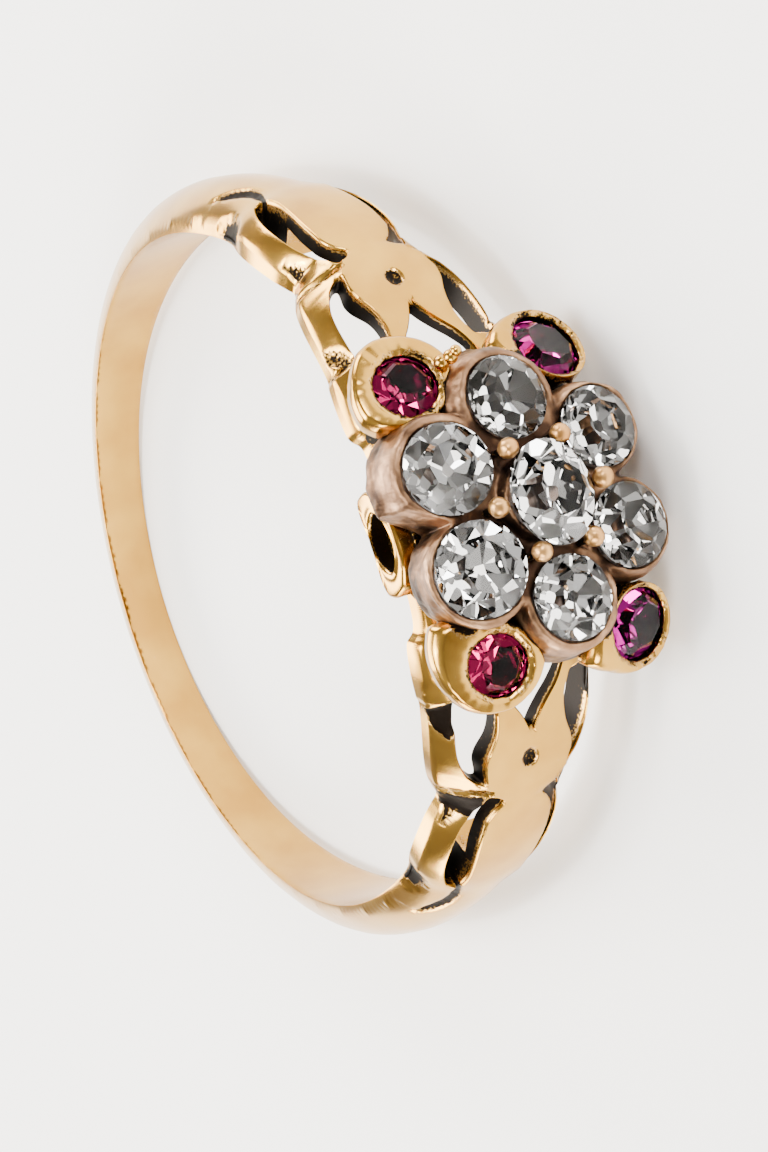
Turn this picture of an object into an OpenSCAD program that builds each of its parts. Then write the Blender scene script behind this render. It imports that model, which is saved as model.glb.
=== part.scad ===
// Cluster ring: seven diamonds and four rubies on a pierced gold hoop.
// Millimetres, +Z up. The ring lies on its side and the origin is the centre of the finger hole.
// Hoop axes: the finger goes along Z, and the head faces -Y. An angle round the hoop is counted
// from the head, positive towards +X. Head axes: x as the hoop's, y along the finger, z out of the head.

/* [Hoop] */
// Inside diameter of the hoop
finger_d = 17; // [16.8:0.1:17.2]

/* [Shoulders] */
// Diameter of the punched dot on each strap
dot_d = 0.42; // [0.2:0.01:0.5]
// Angle of the punched dot from the head
dot_angle = 37.4; // [36:0.1:39]

/* [Head] */
// Distance from the finger's axis to the girdle of the outer diamonds
head_r = 11.64; // [11.4:0.02:12]
// Angle by which the head sits crooked on the hoop
head_turn = 5; // [0:0.1:6]
// Distance from the middle of the cluster to the outer diamonds
cluster_r = 2.507; // [2.5:0.001:2.6]
// Height of the cluster setting below the outer girdles
setting_h = 1.6; // [1.5:0.02:1.7]
// Outside diameter of the drum under the cluster
drum_d = 5.4; // [5:0.1:5.6]
// Wall of the drum
drum_wall = 0.5; // [0.4:0.05:0.7]

/* [Rubies] */
// Distance from the middle of the cluster to each ruby
ruby_r = 4; // [3.97:0.01:4.03]
// Depth of the ruby girdles below the outer diamonds' girdles
ruby_drop = 1.04; // [1:0.01:1.1]

/* [Beads] */
// Diameter of a bead
bead_d = 0.4; // [0.3:0.01:0.42]
// Distance from the middle of the cluster to each bead
bead_r = 1.49; // [1.48:0.01:1.5]
// Height of the beads above the outer girdles
bead_z = 0.56; // [0.5:0.01:0.6]

/* [Resting pose] */
// Angle by which the ring leans when it lies on its side
rest_lean = 8.6; // [8.2:0.1:9]

/* [Hidden] */
$fn = 64;
// Clearance between a piece and its seat
gap = 0.03;
// Overshoot that keeps cutting faces apart
over = 0.5;
bore_r = finger_d / 2;
// Swept pieces start a little inside the bore, which then trims them
core_r = bore_r - 0.2;
drum_top = -setting_h - gap;
drum_foot = -3.1;
collet_top = 0.24;
scroll_z = -2.5;
stone_names = [for (i = [1 : 7]) str("diamond_", i)];
ruby_names = [for (i = [1 : 4]) str("ruby_", i)];
bead_names = [for (i = [1 : 6]) str("bead_claw_", i)];

// Band, half of the hoop: angle from the head, half width, height of the sides, radius of the top,
// and how the back falls off to the sides, from 0.4 for a full back to 1 for a flat one
BAND = [[0, 2.5, 0.4, 9.35, 0.36], [10, 2.56, 0.4, 9.4, 0.36], [17, 2.56, 0.36, 9.52, 0.38],
    [22, 2.48, 0.3, 9.7, 0.4], [28, 2.37, 0.3, 9.84, 0.43], [34, 2.27, 0.3, 9.9, 0.43],
    [38, 2.18, 0.3, 9.9, 0.43], [42, 2.02, 0.3, 9.9, 0.43], [45, 1.78, 0.3, 9.9, 0.43],
    [47, 1.6, 0.3, 9.9, 0.43], [49, 1.68, 0.3, 9.9, 0.43], [52, 1.78, 0.3, 9.9, 0.43],
    [57, 1.82, 0.28, 9.88, 0.43], [62, 1.74, 0.24, 9.82, 0.45], [67, 1.5, 0.16, 9.74, 0.5],
    [73, 1.44, 0.1, 9.68, 0.6], [82, 1.4, 0.06, 9.62, 0.7], [94, 1.24, 0.06, 9.56, 0.8],
    [112, 0.98, 0.06, 9.5, 0.9], [134, 0.74, 0.06, 9.46, 0.95], [157, 0.61, 0.06, 9.42, 1],
    [180, 0.57, 0.06, 9.42, 1]];
// Piercings beside the strap, one side: angle, height of the strap's edge, height of the leaf's edge
BACK_GAP = [[43.2, 0.82, 0.98], [44.4, 0.55, 1.06], [45.5, 0.74, 1.14], [47.5, 0.93, 1.24],
    [50, 0.97, 1.38], [53, 0.97, 1.45], [57, 0.9, 1.45], [60.5, 0.84, 1.34], [63.5, 0.88, 1.12]];
FRONT_GAP = [[40.6, 1.16, 1.28], [39.5, 1.18, 1.52], [37.5, 1.25, 1.72], [35.5, 1.2, 1.84],
    [33, 1.04, 1.9], [30.5, 0.98, 1.92], [28, 1.02, 1.92], [25.5, 1.2, 1.9]];
// Notch between the tines: angle, half width
FORK = [[33.1, 0.02], [31, 0.18], [29, 0.4], [27, 0.68], [24.5, 0.95], [22, 1.1], [19.5, 1.05],
    [17.5, 0.9]];
// Diamonds: angle in the cluster, distance from the middle, height, length, width, outward lean,
// width of the metal rim round it and how far its lobe flares out at the foot
DIAMOND = [[0, 0, 0.63, 2.62, 2.2, 0, 0, 0],
    [0, cluster_r, 0, 2.1, 2.05, 7, 0.18, 0.58], [60, cluster_r, 0, 2.25, 2.3, 10, 0.2, 0.5],
    [120, cluster_r, 0, 2.4, 2.36, 9, 0.2, 0.45], [180, cluster_r, 0, 2.1, 2.12, 4, 0.2, 0.4],
    [240, cluster_r - 0.06, 0, 2.04, 2.1, 4, 0.11, 0.34], [300, cluster_r - 0.03, 0, 1.98, 2.04, 5, 0.11, 0.34]];
// Rubies: angle in the cluster, length outwards, width, outward lean, radius of the collet's rim and waist
RUBY = [[30, 1.6, 1.58, 20, 1.2, 1.0], [150, 1.52, 1.54, 20, 1.18, 0.98],
    [210, 1.62, 1.8, 28, 1.0, 0.97], [330, 1.62, 1.8, 28, 1.0, 0.97]];

// Point on the hoop at an angle from the head, a radius and a height along the finger
function hoop_point(angle, r, h) = [r * sin(angle), -r * cos(angle), h];

// Value between b and c on the smooth curve through a, b, c and d
function blend(a, b, c, d, t) =
    b + t / 2 * (c - a + t * (2 * a - 5 * b + 4 * c - d + t * (3 * (b - c) + d - a)));

// Rows of a table with steps - 1 smooth rows added after each but the last
function smooth(rows, steps) = let (last = len(rows) - 1) [
    for (i = [0 : last - 1], s = [0 : steps - 1])
        blend(rows[max(i - 1, 0)], rows[i], rows[i + 1], rows[min(i + 2, last)], s / steps),
    rows[last]];

// Section of the band at a row of its table, with its inner corners inside the bore
function band_ring(row) = let (base = bore_r + row[2]) concat(
    [hoop_point(row[0], core_r, -row[1])],
    [for (a = [-90 : 22.5 : 90])
        hoop_point(row[0], base + (row[3] - base) * pow(max(cos(a), 0), 2 * row[4]), row[1] * sin(a))],
    [hoop_point(row[0], core_r, row[1])]);

// Closed solid through a ring of sections
module closed_sweep(rings) {
    n = len(rings[0]);
    m = len(rings);
    polyhedron([for (ring = rings) each ring], [for (i = [0 : m - 1], j = [0 : n - 1])
        [i * n + j, i * n + (j + 1) % n, (i + 1) % m * n + (j + 1) % n, (i + 1) % m * n + j]]);
}

// Puts a piece drawn in hoop axes into the resting pose
module at_rest() {
    rotate([-rest_lean, 0, 0]) children();
}

// Puts a piece drawn in head axes onto the hoop
module on_head() {
    rotate([90, 0, 0]) translate([0, 0, head_r]) rotate([0, head_turn, 0]) children();
}

// Turned solid: points give a radius and a height
module turned(points) {
    rotate_extrude() polygon(points);
}

// Both ends of the shoulders, or both sides of one
module both(axis) {
    children();
    mirror(axis) children();
}

// Hoop and shoulders before they are pierced
module band() {
    half = smooth(BAND, 2);
    last = len(half) - 1;
    closed_sweep([
        for (r = half) band_ring(r),
        for (i = [last - 1 : -1 : 1]) let (row = half[i])
            band_ring([-row[0], row[1], row[2], row[3], row[4]])]);
}

// Cut straight through the band: rows give an angle and the heights of both edges
module pierce(rows) {
    mid = (rows[0][0] + rows[len(rows) - 1][0]) / 2;
    low = [for (r = rows) [9.6 * sin(r[0] - mid), r[1]]];
    high = [for (r = rows) [9.6 * sin(r[0] - mid), r[2]]];
    rotate([0, 0, mid]) translate([0, -8, 0]) rotate([90, 0, 0])
        linear_extrude(4) polygon(concat(low, reversed(high)));
}

// Rounded groove that parts the two leaves of one side of a shoulder
module leaf_groove() {
    rotate([0, 0, 45]) translate([0, -9.62, 1.34]) rotate([0, 60, 32])
        cylinder(h = 2, r = 0.2, center = true, $fn = 24);
}

// Scoop that sets the shoulder off from the plain hoop
module side_scoop() {
    rotate([0, 0, 69.5]) translate([0, -9.85, 1.75]) sphere(r = 1.1);
}

// The cuts of one shoulder
module shoulder_cuts() {
    pierce([for (r = FORK) [r[0], -r[1], r[1]]]);
    both([0, 0, 1]) {
        pierce(smooth(BACK_GAP, 2));
        pierce(smooth(FRONT_GAP, 2));
        leaf_groove();
        side_scoop();
    }
    rotate([0, 0, dot_angle]) translate([0, -10.02, 0]) sphere(d = dot_d, $fn = 24);
}

// Round drum that carries the cluster setting
module drum() {
    translate([0, 0, drum_foot]) cylinder(h = drum_top - drum_foot, d = drum_d);
}

module drum_hollow() {
    translate([0, 0, -4]) cylinder(h = 4 + drum_top + over, d = drum_d - 2 * drum_wall);
}

// Places children at one of the rubies, leaning outwards with it
module at_ruby(i) {
    rotate([0, 0, RUBY[i][0]]) translate([ruby_r, 0, -ruby_drop]) rotate([0, RUBY[i][3], 0]) children();
}

// Collet of a ruby, without its seat
module collet(i) {
    turned([[0, -2.3], [0.75, -2.3], [0.75, -1.3], [RUBY[i][5], -0.4], [RUBY[i][4], collet_top],
        [0, collet_top]]);
}

// Radius of the hole that takes one of the rubies
function ruby_room_r(i) = max(RUBY[i][1], RUBY[i][2]) / 2 + gap;

// Room for a ruby, from the hollow under it to above the collet's bevelled rim
module ruby_room(i) {
    r = ruby_room_r(i);
    turned([[0, -0.06 - 0.8 * r], [0.1, -0.06 - 0.8 * r], [r, -0.06], [r, collet_top - 0.06],
        [r + 0.2, collet_top + 0.2], [0, collet_top + 0.2]]);
}

// Almond outline of a length and a height
module almond(length, height) {
    r = (length * length + height * height) / (4 * height);
    intersection() {
        translate([0, r - height / 2]) circle(r);
        translate([0, height / 2 - r]) circle(r);
    }
}

// Almond-shaped open scroll at the middle of one side of the head
module side_scroll() {
    translate([0, 3, scroll_z]) rotate([90, 0, 0]) linear_extrude(0.9) difference() {
        almond(2.8, 1.3);
        almond(2.2, 0.82);
    }
}

module gold_mount() {
    color("goldenrod") at_rest() difference() {
        union() {
            band();
            on_head() difference() {
                union() {
                    drum();
                    for (i = [0 : 3]) at_ruby(i) collet(i);
                    both([0, 1, 0]) side_scroll();
                }
                for (i = [0 : 3]) at_ruby(i) ruby_room(i);
                for (i = [1 : 6]) lobe(i, gap);
            }
        }
        on_head() drum_hollow();
        both([1, 0, 0]) shoulder_cuts();
        cylinder(h = 12, r = bore_r, center = true);
    }
}

// Places children at one of the diamonds, leaning outwards with it
module at_diamond(i) {
    d = DIAMOND[i];
    rotate([0, 0, d[0]]) translate([d[1], 0, d[2]]) rotate([0, d[5], 0]) children();
}

// Lobe of the cluster setting under one of the outer diamonds, grown by extra to clear its neighbours
module lobe(i, extra = 0) {
    r = max(DIAMOND[i][3], DIAMOND[i][4]) / 2 + extra;
    rim = r + DIAMOND[i][6];
    flare = r + DIAMOND[i][7];
    intersection() {
        translate([0, 0, -setting_h - extra]) cylinder(h = 3, r = 5);
        at_diamond(i) turned([[0, -2], [flare - 0.5, -2], [flare, -1.25], [rim, 0.08], [0, 0.08]]);
    }
}

// Raised collar under the middle diamond
module middle_collar() {
    translate([0, 0, -1]) cylinder(h = 1.4, r1 = 1.25, r2 = 1.0);
}

// Room for a diamond, open at the back
module diamond_room(i) {
    r = max(DIAMOND[i][3], DIAMOND[i][4]) / 2 + gap;
    turned([[0, -3], [0.4, -3], [0.4, -1], [r, -0.05], [r, 2], [0, 2]]);
}

module cluster_setting() {
    color("rosybrown") at_rest() on_head() difference() {
        union() {
            for (i = [1 : 6]) lobe(i);
            translate([0, 0, -setting_h]) cylinder(h = setting_h, r = 2.3);
            middle_collar();
        }
        for (i = [0 : 6]) at_diamond(i) diamond_room(i);
        for (i = [0 : 3]) at_ruby(i) translate([0, 0, -2]) cylinder(h = 4, r = ruby_room_r(i) + 0.05);
        for (i = [0 : 5]) at_bead(i) bead_shape(gap);
        for (a = [90, 270]) rotate([0, 0, a]) translate([0, 0, -3])
            linear_extrude(4) polygon([[2.25, 0], [4, 0.8], [4, -0.8]]);
    }
}

// Places children at one of the six beads
module at_bead(i) {
    rotate([0, 0, 30 + 60 * i]) translate([bead_r, 0, 0]) children();
}

// Bead on its stalk, grown by extra for its socket
module bead_shape(extra = 0) {
    translate([0, 0, bead_z]) sphere(d = bead_d + 2 * extra, $fn = 24);
    translate([0, 0, -0.7 - extra]) cylinder(h = 0.7 + bead_z, r = 0.11 + extra, $fn = 24);
}

module bead_claw(i) {
    color("goldenrod") at_rest() on_head() at_bead(i) bead_shape();
}

// Ring of n points at a radius and height, starting at an angle
function ring_at(n, r, z, start) = [for (i = [0 : n - 1]) let (a = start + 360 / n * i)
    [r * cos(a), r * sin(a), z]];

// Old-cut stone of unit diameter: flat r is the table's or culet's radius, mid r that of the corners between
function cut_half(flat_r, mid_r, depth, girdle) = let (sign = depth > 0 ? 1 : -1) concat(
    ring_at(8, flat_r, depth + sign * girdle, 0),
    ring_at(8, mid_r, depth * (0.5 - mid_r * cos(22.5)) / (0.5 - flat_r) + sign * girdle, 22.5),
    ring_at(16, 0.5, sign * girdle, 0));

// Faces of the upper half: table, stars, mains and girdle facets; first is the number of the first point
function cut_faces(first) = [
    [for (k = [7 : -1 : 0]) first + k],
    for (k = [0 : 7]) [first + k, first + (k + 1) % 8, first + 8 + k],
    for (k = [0 : 7]) [first + k, first + 8 + k, first + 16 + 2 * k, first + 8 + (k + 7) % 8],
    for (k = [0 : 7]) [first + 8 + k, first + 16 + 2 * k + 1, first + 16 + 2 * k],
    for (k = [0 : 7]) [first + 8 + k, first + 16 + (2 * k + 2) % 16, first + 16 + 2 * k + 1]];

function reversed(list) = [for (i = [len(list) - 1 : -1 : 0]) list[i]];

// Faceted stone with its girdle at z = 0
module cut_stone(length, width, crown, pavilion, table_r, culet_r) {
    d = max(length, width);
    girdle = 0.012;
    points = concat(cut_half(table_r, 0.37, crown, girdle), cut_half(culet_r, 0.2, -pavilion, girdle));
    band = [for (j = [0 : 15]) [16 + j, 16 + (j + 1) % 16, 48 + (j + 1) % 16, 48 + j]];
    faces = concat(cut_faces(0), [for (f = cut_faces(32)) reversed(f)], band);
    polyhedron([for (p = points) [p[0] * length, p[1] * width, p[2] * d]], faces);
}

module diamond(i) {
    color("white") at_rest() on_head() at_diamond(i)
        cut_stone(DIAMOND[i][3], DIAMOND[i][4], 0.22, 0.4, 0.22, 0.05);
}

module ruby(i) {
    color("crimson") at_rest() on_head() at_ruby(i)
        cut_stone(RUBY[i][1], RUBY[i][2], 0.17, 0.36, 0.29, 0.04);
}

gold_mount();
cluster_setting();
for (i = [0 : 5]) bead_claw(i);
for (i = [0 : 6]) diamond(i);
for (i = [0 : 3]) ruby(i);
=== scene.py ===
"""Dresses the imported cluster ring: carved and pierced gold hoop, four ruby collets, tarnished cluster
setting, bead claws, old-cut stones, a plain pale floor, soft studio light and the camera.

Shapes are modelled in millimetres and turned into metres when a piece is finished."""

from __future__ import annotations

import logging
import math
from dataclasses import dataclass, field
from enum import Enum
from typing import Callable, Iterable, Sequence

import bmesh
import bpy
import numpy as np
from mathutils import Matrix, Vector, noise
from mathutils.geometry import delaunay_2d_cdt

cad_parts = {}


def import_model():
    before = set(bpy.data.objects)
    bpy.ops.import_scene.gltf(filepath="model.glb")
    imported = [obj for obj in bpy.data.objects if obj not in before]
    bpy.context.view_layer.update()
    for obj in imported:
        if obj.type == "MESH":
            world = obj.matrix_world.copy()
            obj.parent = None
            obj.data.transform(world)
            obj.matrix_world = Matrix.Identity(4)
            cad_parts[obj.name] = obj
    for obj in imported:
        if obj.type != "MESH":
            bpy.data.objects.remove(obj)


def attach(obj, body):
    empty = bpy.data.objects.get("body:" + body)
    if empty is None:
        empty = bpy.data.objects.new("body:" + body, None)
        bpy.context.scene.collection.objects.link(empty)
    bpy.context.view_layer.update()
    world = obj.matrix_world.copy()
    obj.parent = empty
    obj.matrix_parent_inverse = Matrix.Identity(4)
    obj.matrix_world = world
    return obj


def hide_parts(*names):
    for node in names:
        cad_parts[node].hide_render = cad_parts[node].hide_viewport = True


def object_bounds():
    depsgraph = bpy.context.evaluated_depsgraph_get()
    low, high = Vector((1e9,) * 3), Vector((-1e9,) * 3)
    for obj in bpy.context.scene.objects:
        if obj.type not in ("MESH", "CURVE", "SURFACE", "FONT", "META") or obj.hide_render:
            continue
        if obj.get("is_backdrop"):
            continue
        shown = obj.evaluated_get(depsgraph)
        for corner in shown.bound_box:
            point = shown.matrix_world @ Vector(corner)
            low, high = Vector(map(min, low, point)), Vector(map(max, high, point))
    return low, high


LOG = logging.getLogger("ring")
MM = 0.001
BORE_R = 8.5
ARC_MM = 0.16755
"""Length in millimetres of one degree of the hoop at a radius of 9.6 mm."""

Row = Sequence[float]
Table = Sequence[Row]
Object = bpy.types.Object
Material = bpy.types.Material
Tree = bpy.types.NodeTree
Socket = bpy.types.NodeSocket


class Slot(Enum):
    """Material slots of the record."""

    YELLOW_GOLD = "yellow_gold"
    CLUSTER_METAL = "cluster_metal"
    DIAMOND = "diamond"
    RUBY = "ruby"


class Edge(Enum):
    """Kinds of edge round the band."""

    SIDE = "side"
    PIERCED = "pierced"


# ---- nodes


def srgb(code: str) -> tuple[float, float, float, float]:
    """Turns an sRGB hex colour into linear values.

    Args:
        code: colour such as "#C8A06A".

    Returns:
        Red, green, blue and alpha.
    """
    parts = [int(code[i : i + 2], 16) / 255 for i in (1, 3, 5)]
    line = [c / 12.92 if c <= 0.04045 else ((c + 0.055) / 1.055) ** 2.4 for c in parts]
    return (line[0], line[1], line[2], 1.0)


def feed(node: bpy.types.Node, inputs: dict[object, object]) -> None:
    """Sets or links inputs of a node.

    Args:
        node: the node.
        inputs: for each input's name or number, a value or the output socket that feeds it.
    """
    for key, value in inputs.items():
        if isinstance(value, Socket):
            node.id_data.links.new(value, node.inputs[key])
        else:
            node.inputs[key].default_value = value


def add_node(
    tree: Tree, kind: str, inputs: dict[object, object] | None = None, **settings: object
) -> bpy.types.Node:
    """Adds a node.

    Args:
        tree: node tree that gets the node.
        kind: type of the node.
        inputs: values or sockets for its inputs, as for feed.
        **settings: properties of the node.

    Returns:
        The new node.
    """
    node = tree.nodes.new(kind)
    for key, value in settings.items():
        setattr(node, key, value)
    feed(node, inputs or {})
    return node


def maths(tree: Tree, operation: str, *values: object) -> Socket:
    """Adds a maths node over values or sockets, and gives its result."""
    return add_node(tree, "ShaderNodeMath", dict(enumerate(values)), operation=operation).outputs[0]


def grains(tree: Tree, where: Socket, size: float, detail: float) -> Socket:
    """Adds a noise whose grains have a size in millimetres, and gives its value."""
    inputs = {"Vector": where, "Scale": 1 / (size * MM), "Detail": detail}
    return add_node(tree, "ShaderNodeTexNoise", inputs).outputs["Fac"]


def ranged(tree: Tree, value: Socket, low: float, high: float) -> Socket:
    """Adds a map from 0 and 1 to low and high, and gives its result."""
    inputs = {"Value": value, "To Min": low, "To Max": high}
    return add_node(tree, "ShaderNodeMapRange", inputs).outputs[0]


def bumps(tree: Tree, height: Socket, strength: float, distance: float = 0.02) -> Socket:
    """Adds a bump of a distance in millimetres, and gives its normal."""
    inputs = {"Height": height, "Strength": strength, "Distance": distance * MM}
    return add_node(tree, "ShaderNodeBump", inputs).outputs[0]


def ramp(tree: Tree, factor: Socket, stops: Sequence[tuple[float, str]]) -> Socket:
    """Adds a colour ramp.

    Args:
        tree: node tree that gets it.
        factor: what drives it.
        stops: positions with sRGB colours, lowest first.

    Returns:
        Its colour.
    """
    node = add_node(tree, "ShaderNodeValToRGB", {"Fac": factor})
    marks = node.color_ramp.elements
    while len(marks) < len(stops):
        marks.new(0.5)
    for mark, (place, code) in zip(marks, stops):
        mark.position = place
        mark.color = srgb(code)
    return node.outputs["Color"]


def new_material(name: str, inputs: dict[object, object]) -> tuple[Material, Tree, bpy.types.Node]:
    """Makes a material.

    Args:
        name: its name.
        inputs: values for its Principled BSDF.

    Returns:
        The material, its node tree and its Principled BSDF.
    """
    mat = bpy.data.materials.new(name)
    mat.use_nodes = True
    bsdf = mat.node_tree.nodes["Principled BSDF"]
    feed(bsdf, inputs)
    return mat, mat.node_tree, bsdf


def attribute(tree: Tree, name: str) -> Socket:
    """Adds a reader of a mesh attribute, and gives its value."""
    return add_node(tree, "ShaderNodeAttribute", attribute_name=name).outputs["Fac"]


# ---- numbers


def smoothstep(low: float, high: float, x: np.ndarray) -> np.ndarray:
    """Value that rises smoothly from 0 at low to 1 at high."""
    t = np.clip((x - low) / (high - low), 0, 1)
    return t * t * (3 - 2 * t)


def grain(points: np.ndarray, size: float, shift: float = 0.0) -> np.ndarray:
    """Smooth fixed noise at points.

    Args:
        points: positions in millimetres, three columns.
        size: width of a grain in millimetres.
        shift: moves the pattern, so that two uses of it differ.

    Returns:
        One value a point, about -1 to 1.
    """
    return np.array([noise.noise(Vector(p) / size + Vector((shift, 0, 0))) for p in points])


def catmull(rows: Table, steps: int) -> np.ndarray:
    """Smooth rows through a table.

    Args:
        rows: the table, a row for each key.
        steps: rows for each of the table's steps.

    Returns:
        The dense table.
    """
    p = np.array(rows, float)
    out = []
    for i in range(len(p) - 1):
        a, b, c, d = p[max(i - 1, 0)], p[i], p[i + 1], p[min(i + 2, len(p) - 1)]
        for t in np.arange(steps) / steps:
            out.append(b + t / 2 * (c - a + t * (2 * a - 5 * b + 4 * c - d + t * (3 * (b - c) + d - a))))
    return np.array(out + [p[-1]])


def resample(line: np.ndarray, step: float) -> np.ndarray:
    """Evenly spaced points along a line, its ends included.

    Args:
        line: corners of the line.
        step: distance between points, about.

    Returns:
        The points.
    """
    lengths = np.r_[0, np.cumsum(np.hypot(*np.diff(line, axis=0).T))]
    count = max(int(round(lengths[-1] / step)), 2)
    at = np.linspace(0, lengths[-1], count + 1)
    return np.c_[np.interp(at, lengths, line[:, 0]), np.interp(at, lengths, line[:, 1])]


def softened(loop: np.ndarray, passes: int) -> np.ndarray:
    """A closed loop with its corners rounded by averaging neighbours."""
    for _ in range(passes):
        loop = (np.roll(loop, 1, 0) + 2 * loop + np.roll(loop, -1, 0)) / 4
    return loop


def inside(loop: np.ndarray, points: np.ndarray) -> np.ndarray:
    """Even-odd test of points against a closed loop.

    Args:
        loop: corners of the loop.
        points: positions, two columns.

    Returns:
        True for each point within the loop.
    """
    result = np.zeros(len(points), bool)
    x, y = points[:, 0], points[:, 1]
    for (x0, y0), (x1, y1) in zip(loop, np.roll(loop, -1, 0)):
        if y0 == y1:
            continue
        crossed = (y0 > y) != (y1 > y)
        result ^= crossed & (x < x0 + (y - y0) / (y1 - y0) * (x1 - x0))
    return result


def line_distance(points: np.ndarray, starts: np.ndarray, ends: np.ndarray) -> np.ndarray:
    """Distance of each point from the nearest of some line pieces.

    Args:
        points: positions, two columns.
        starts: first ends of the pieces.
        ends: second ends of the pieces.

    Returns:
        One distance a point.
    """
    way = ends - starts
    square = np.maximum((way**2).sum(1), 1e-12)
    best = np.empty(len(points))
    for first in range(0, len(points), 2000):
        part = points[first : first + 2000, None, :] - starts[None]
        t = np.clip((part * way).sum(2) / square, 0, 1)
        gap = part - t[..., None] * way
        best[first : first + 2000] = np.sqrt((gap**2).sum(2).min(1))
    return best


def path_place(points: np.ndarray, path: Table) -> tuple[np.ndarray, np.ndarray]:
    """Where points lie beside a path.

    Args:
        points: positions, two columns.
        path: corners of the path.

    Returns:
        Distance from the path, and the share of its length at the nearest place.
    """
    line = np.array(path, float)
    lengths = np.r_[0, np.cumsum(np.hypot(*np.diff(line, axis=0).T))]
    best = np.full(len(points), 1e9)
    share = np.zeros(len(points))
    for i in range(len(line) - 1):
        way = line[i + 1] - line[i]
        t = np.clip(((points - line[i]) @ way) / (way @ way), 0, 1)
        d = np.hypot(*(points - line[i] - t[:, None] * way).T)
        near = d < best
        best[near] = d[near]
        share[near] = (lengths[i] + t * (lengths[i + 1] - lengths[i]))[near] / lengths[-1]
    return best, share


# ---- meshes


def linked(name: str, data: bpy.types.ID) -> Object:
    """Object that holds some data, linked to the scene."""
    obj = bpy.data.objects.new(name, data)
    bpy.context.scene.collection.objects.link(obj)
    return obj


def new_object(name: str, points: np.ndarray, faces: Iterable[Sequence[int]]) -> Object:
    """Makes a mesh object, linked to the scene, from points in millimetres.

    Args:
        name: name of the object.
        points: positions in millimetres.
        faces: corners of each face.

    Returns:
        The object.
    """
    mesh = bpy.data.meshes.new(name)
    mesh.from_pydata([tuple(map(float, p)) for p in points], [], [tuple(map(int, f)) for f in faces])
    mesh.update()
    return linked(name, mesh)


def clean(obj: Object, distance: float = 1e-4) -> None:
    """Merges doubles and points the faces outwards.

    Args:
        obj: object whose mesh is cleaned.
        distance: how close points have to be to count as one.
    """
    work = bmesh.new()
    work.from_mesh(obj.data)
    bmesh.ops.remove_doubles(work, verts=work.verts, dist=distance)
    bmesh.ops.recalc_face_normals(work, faces=work.faces)
    work.to_mesh(obj.data)
    work.free()


def bake(obj: Object) -> None:
    """Turns an object's modifiers into its plain mesh.

    Args:
        obj: object with modifiers.
    """
    shown = obj.evaluated_get(bpy.context.evaluated_depsgraph_get())
    mesh = bpy.data.meshes.new_from_object(shown)
    obj.modifiers.clear()
    obj.data = mesh


def combine(body: Object, tools: Sequence[Object], operation: str) -> None:
    """Joins tools to a body or cuts them from it, and deletes the tools.

    Args:
        body: object that changes.
        tools: closed objects.
        operation: UNION or DIFFERENCE.
    """
    for tool in tools:
        step = body.modifiers.new(tool.name, "BOOLEAN")
        step.operation = operation
        step.solver = "MANIFOLD"
        step.object = tool
    bake(body)
    for tool in tools:
        bpy.data.objects.remove(tool)


def turned(
    name: str,
    profile: Table,
    segments: int = 96,
    shape: Callable[[float, float, float], tuple[float, float]] | None = None,
) -> Object:
    """Closed turned solid.

    Args:
        name: name of the object.
        profile: radius and height, from the axis round to the axis.
        segments: steps round the axis.
        shape: gives the radius and height to use at an angle, radius and height.

    Returns:
        The object.
    """
    points: list[tuple[float, float, float]] = [(0, 0, profile[0][1])]
    for r, z in profile[1:-1]:
        for k in range(segments):
            a = 2 * math.pi * k / segments
            rr, zz = shape(a, r, z) if shape else (r, z)
            points.append((rr * math.cos(a), rr * math.sin(a), zz))
    points.append((0, 0, profile[-1][1]))
    last = len(points) - 1
    faces: list[tuple[int, ...]] = []
    for k in range(segments):
        n = (k + 1) % segments
        faces.append((0, 1 + n, 1 + k))
        faces.append((last, last - segments + k, last - segments + n))
        for a in range(1, last - segments, segments):
            faces.append((a + k, a + n, a + segments + n, a + segments + k))
    obj = new_object(name, np.array(points), faces)
    clean(obj)
    return obj


def peg(name: str, radius: float, low: float, high: float, segments: int = 80) -> Object:
    """Closed cylinder along z between two heights."""
    return turned(name, [(0, low), (radius, low), (radius, high), (0, high)], segments)


def tube(name: str, rings: Sequence[Sequence[Row]]) -> Object:
    """Closed tube.

    Args:
        name: name of the object.
        rings: positions round each ring; the last ring joins the first.

    Returns:
        The object.
    """
    total, count = len(rings), len(rings[0])
    faces = []
    for a, b in zip(range(total), [*range(1, total), 0]):
        for k, n in zip(range(count), [*range(1, count), 0]):
            faces.append((a * count + k, a * count + n, b * count + n, b * count + k))
    obj = new_object(name, np.array([p for ring in rings for p in ring]), faces)
    clean(obj)
    return obj


def rounded(profile: Table, radius: float, steps: int = 3) -> list[tuple[float, float]]:
    """Profile with its inner corners rounded.

    Args:
        profile: corners.
        radius: how far from each corner the rounding starts, at most.
        steps: pieces of each rounding.

    Returns:
        The rounded profile.
    """
    p = [np.array(q, float) for q in profile]
    out = [tuple(p[0])]
    for i in range(1, len(p) - 1):
        back, ahead = p[i - 1] - p[i], p[i + 1] - p[i]
        lb, la = np.linalg.norm(back), np.linalg.norm(ahead)
        if min(lb, la) < 1e-6:
            out.append(tuple(p[i]))
            continue
        r = min(radius, lb / 2.2, la / 2.2)
        a, c = p[i] + back / lb * r, p[i] + ahead / la * r
        for t in np.linspace(0, 1, steps + 1):
            out.append(tuple((1 - t) ** 2 * a + 2 * t * (1 - t) * p[i] + t * t * c))
    out.append(tuple(p[-1]))
    return out


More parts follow.
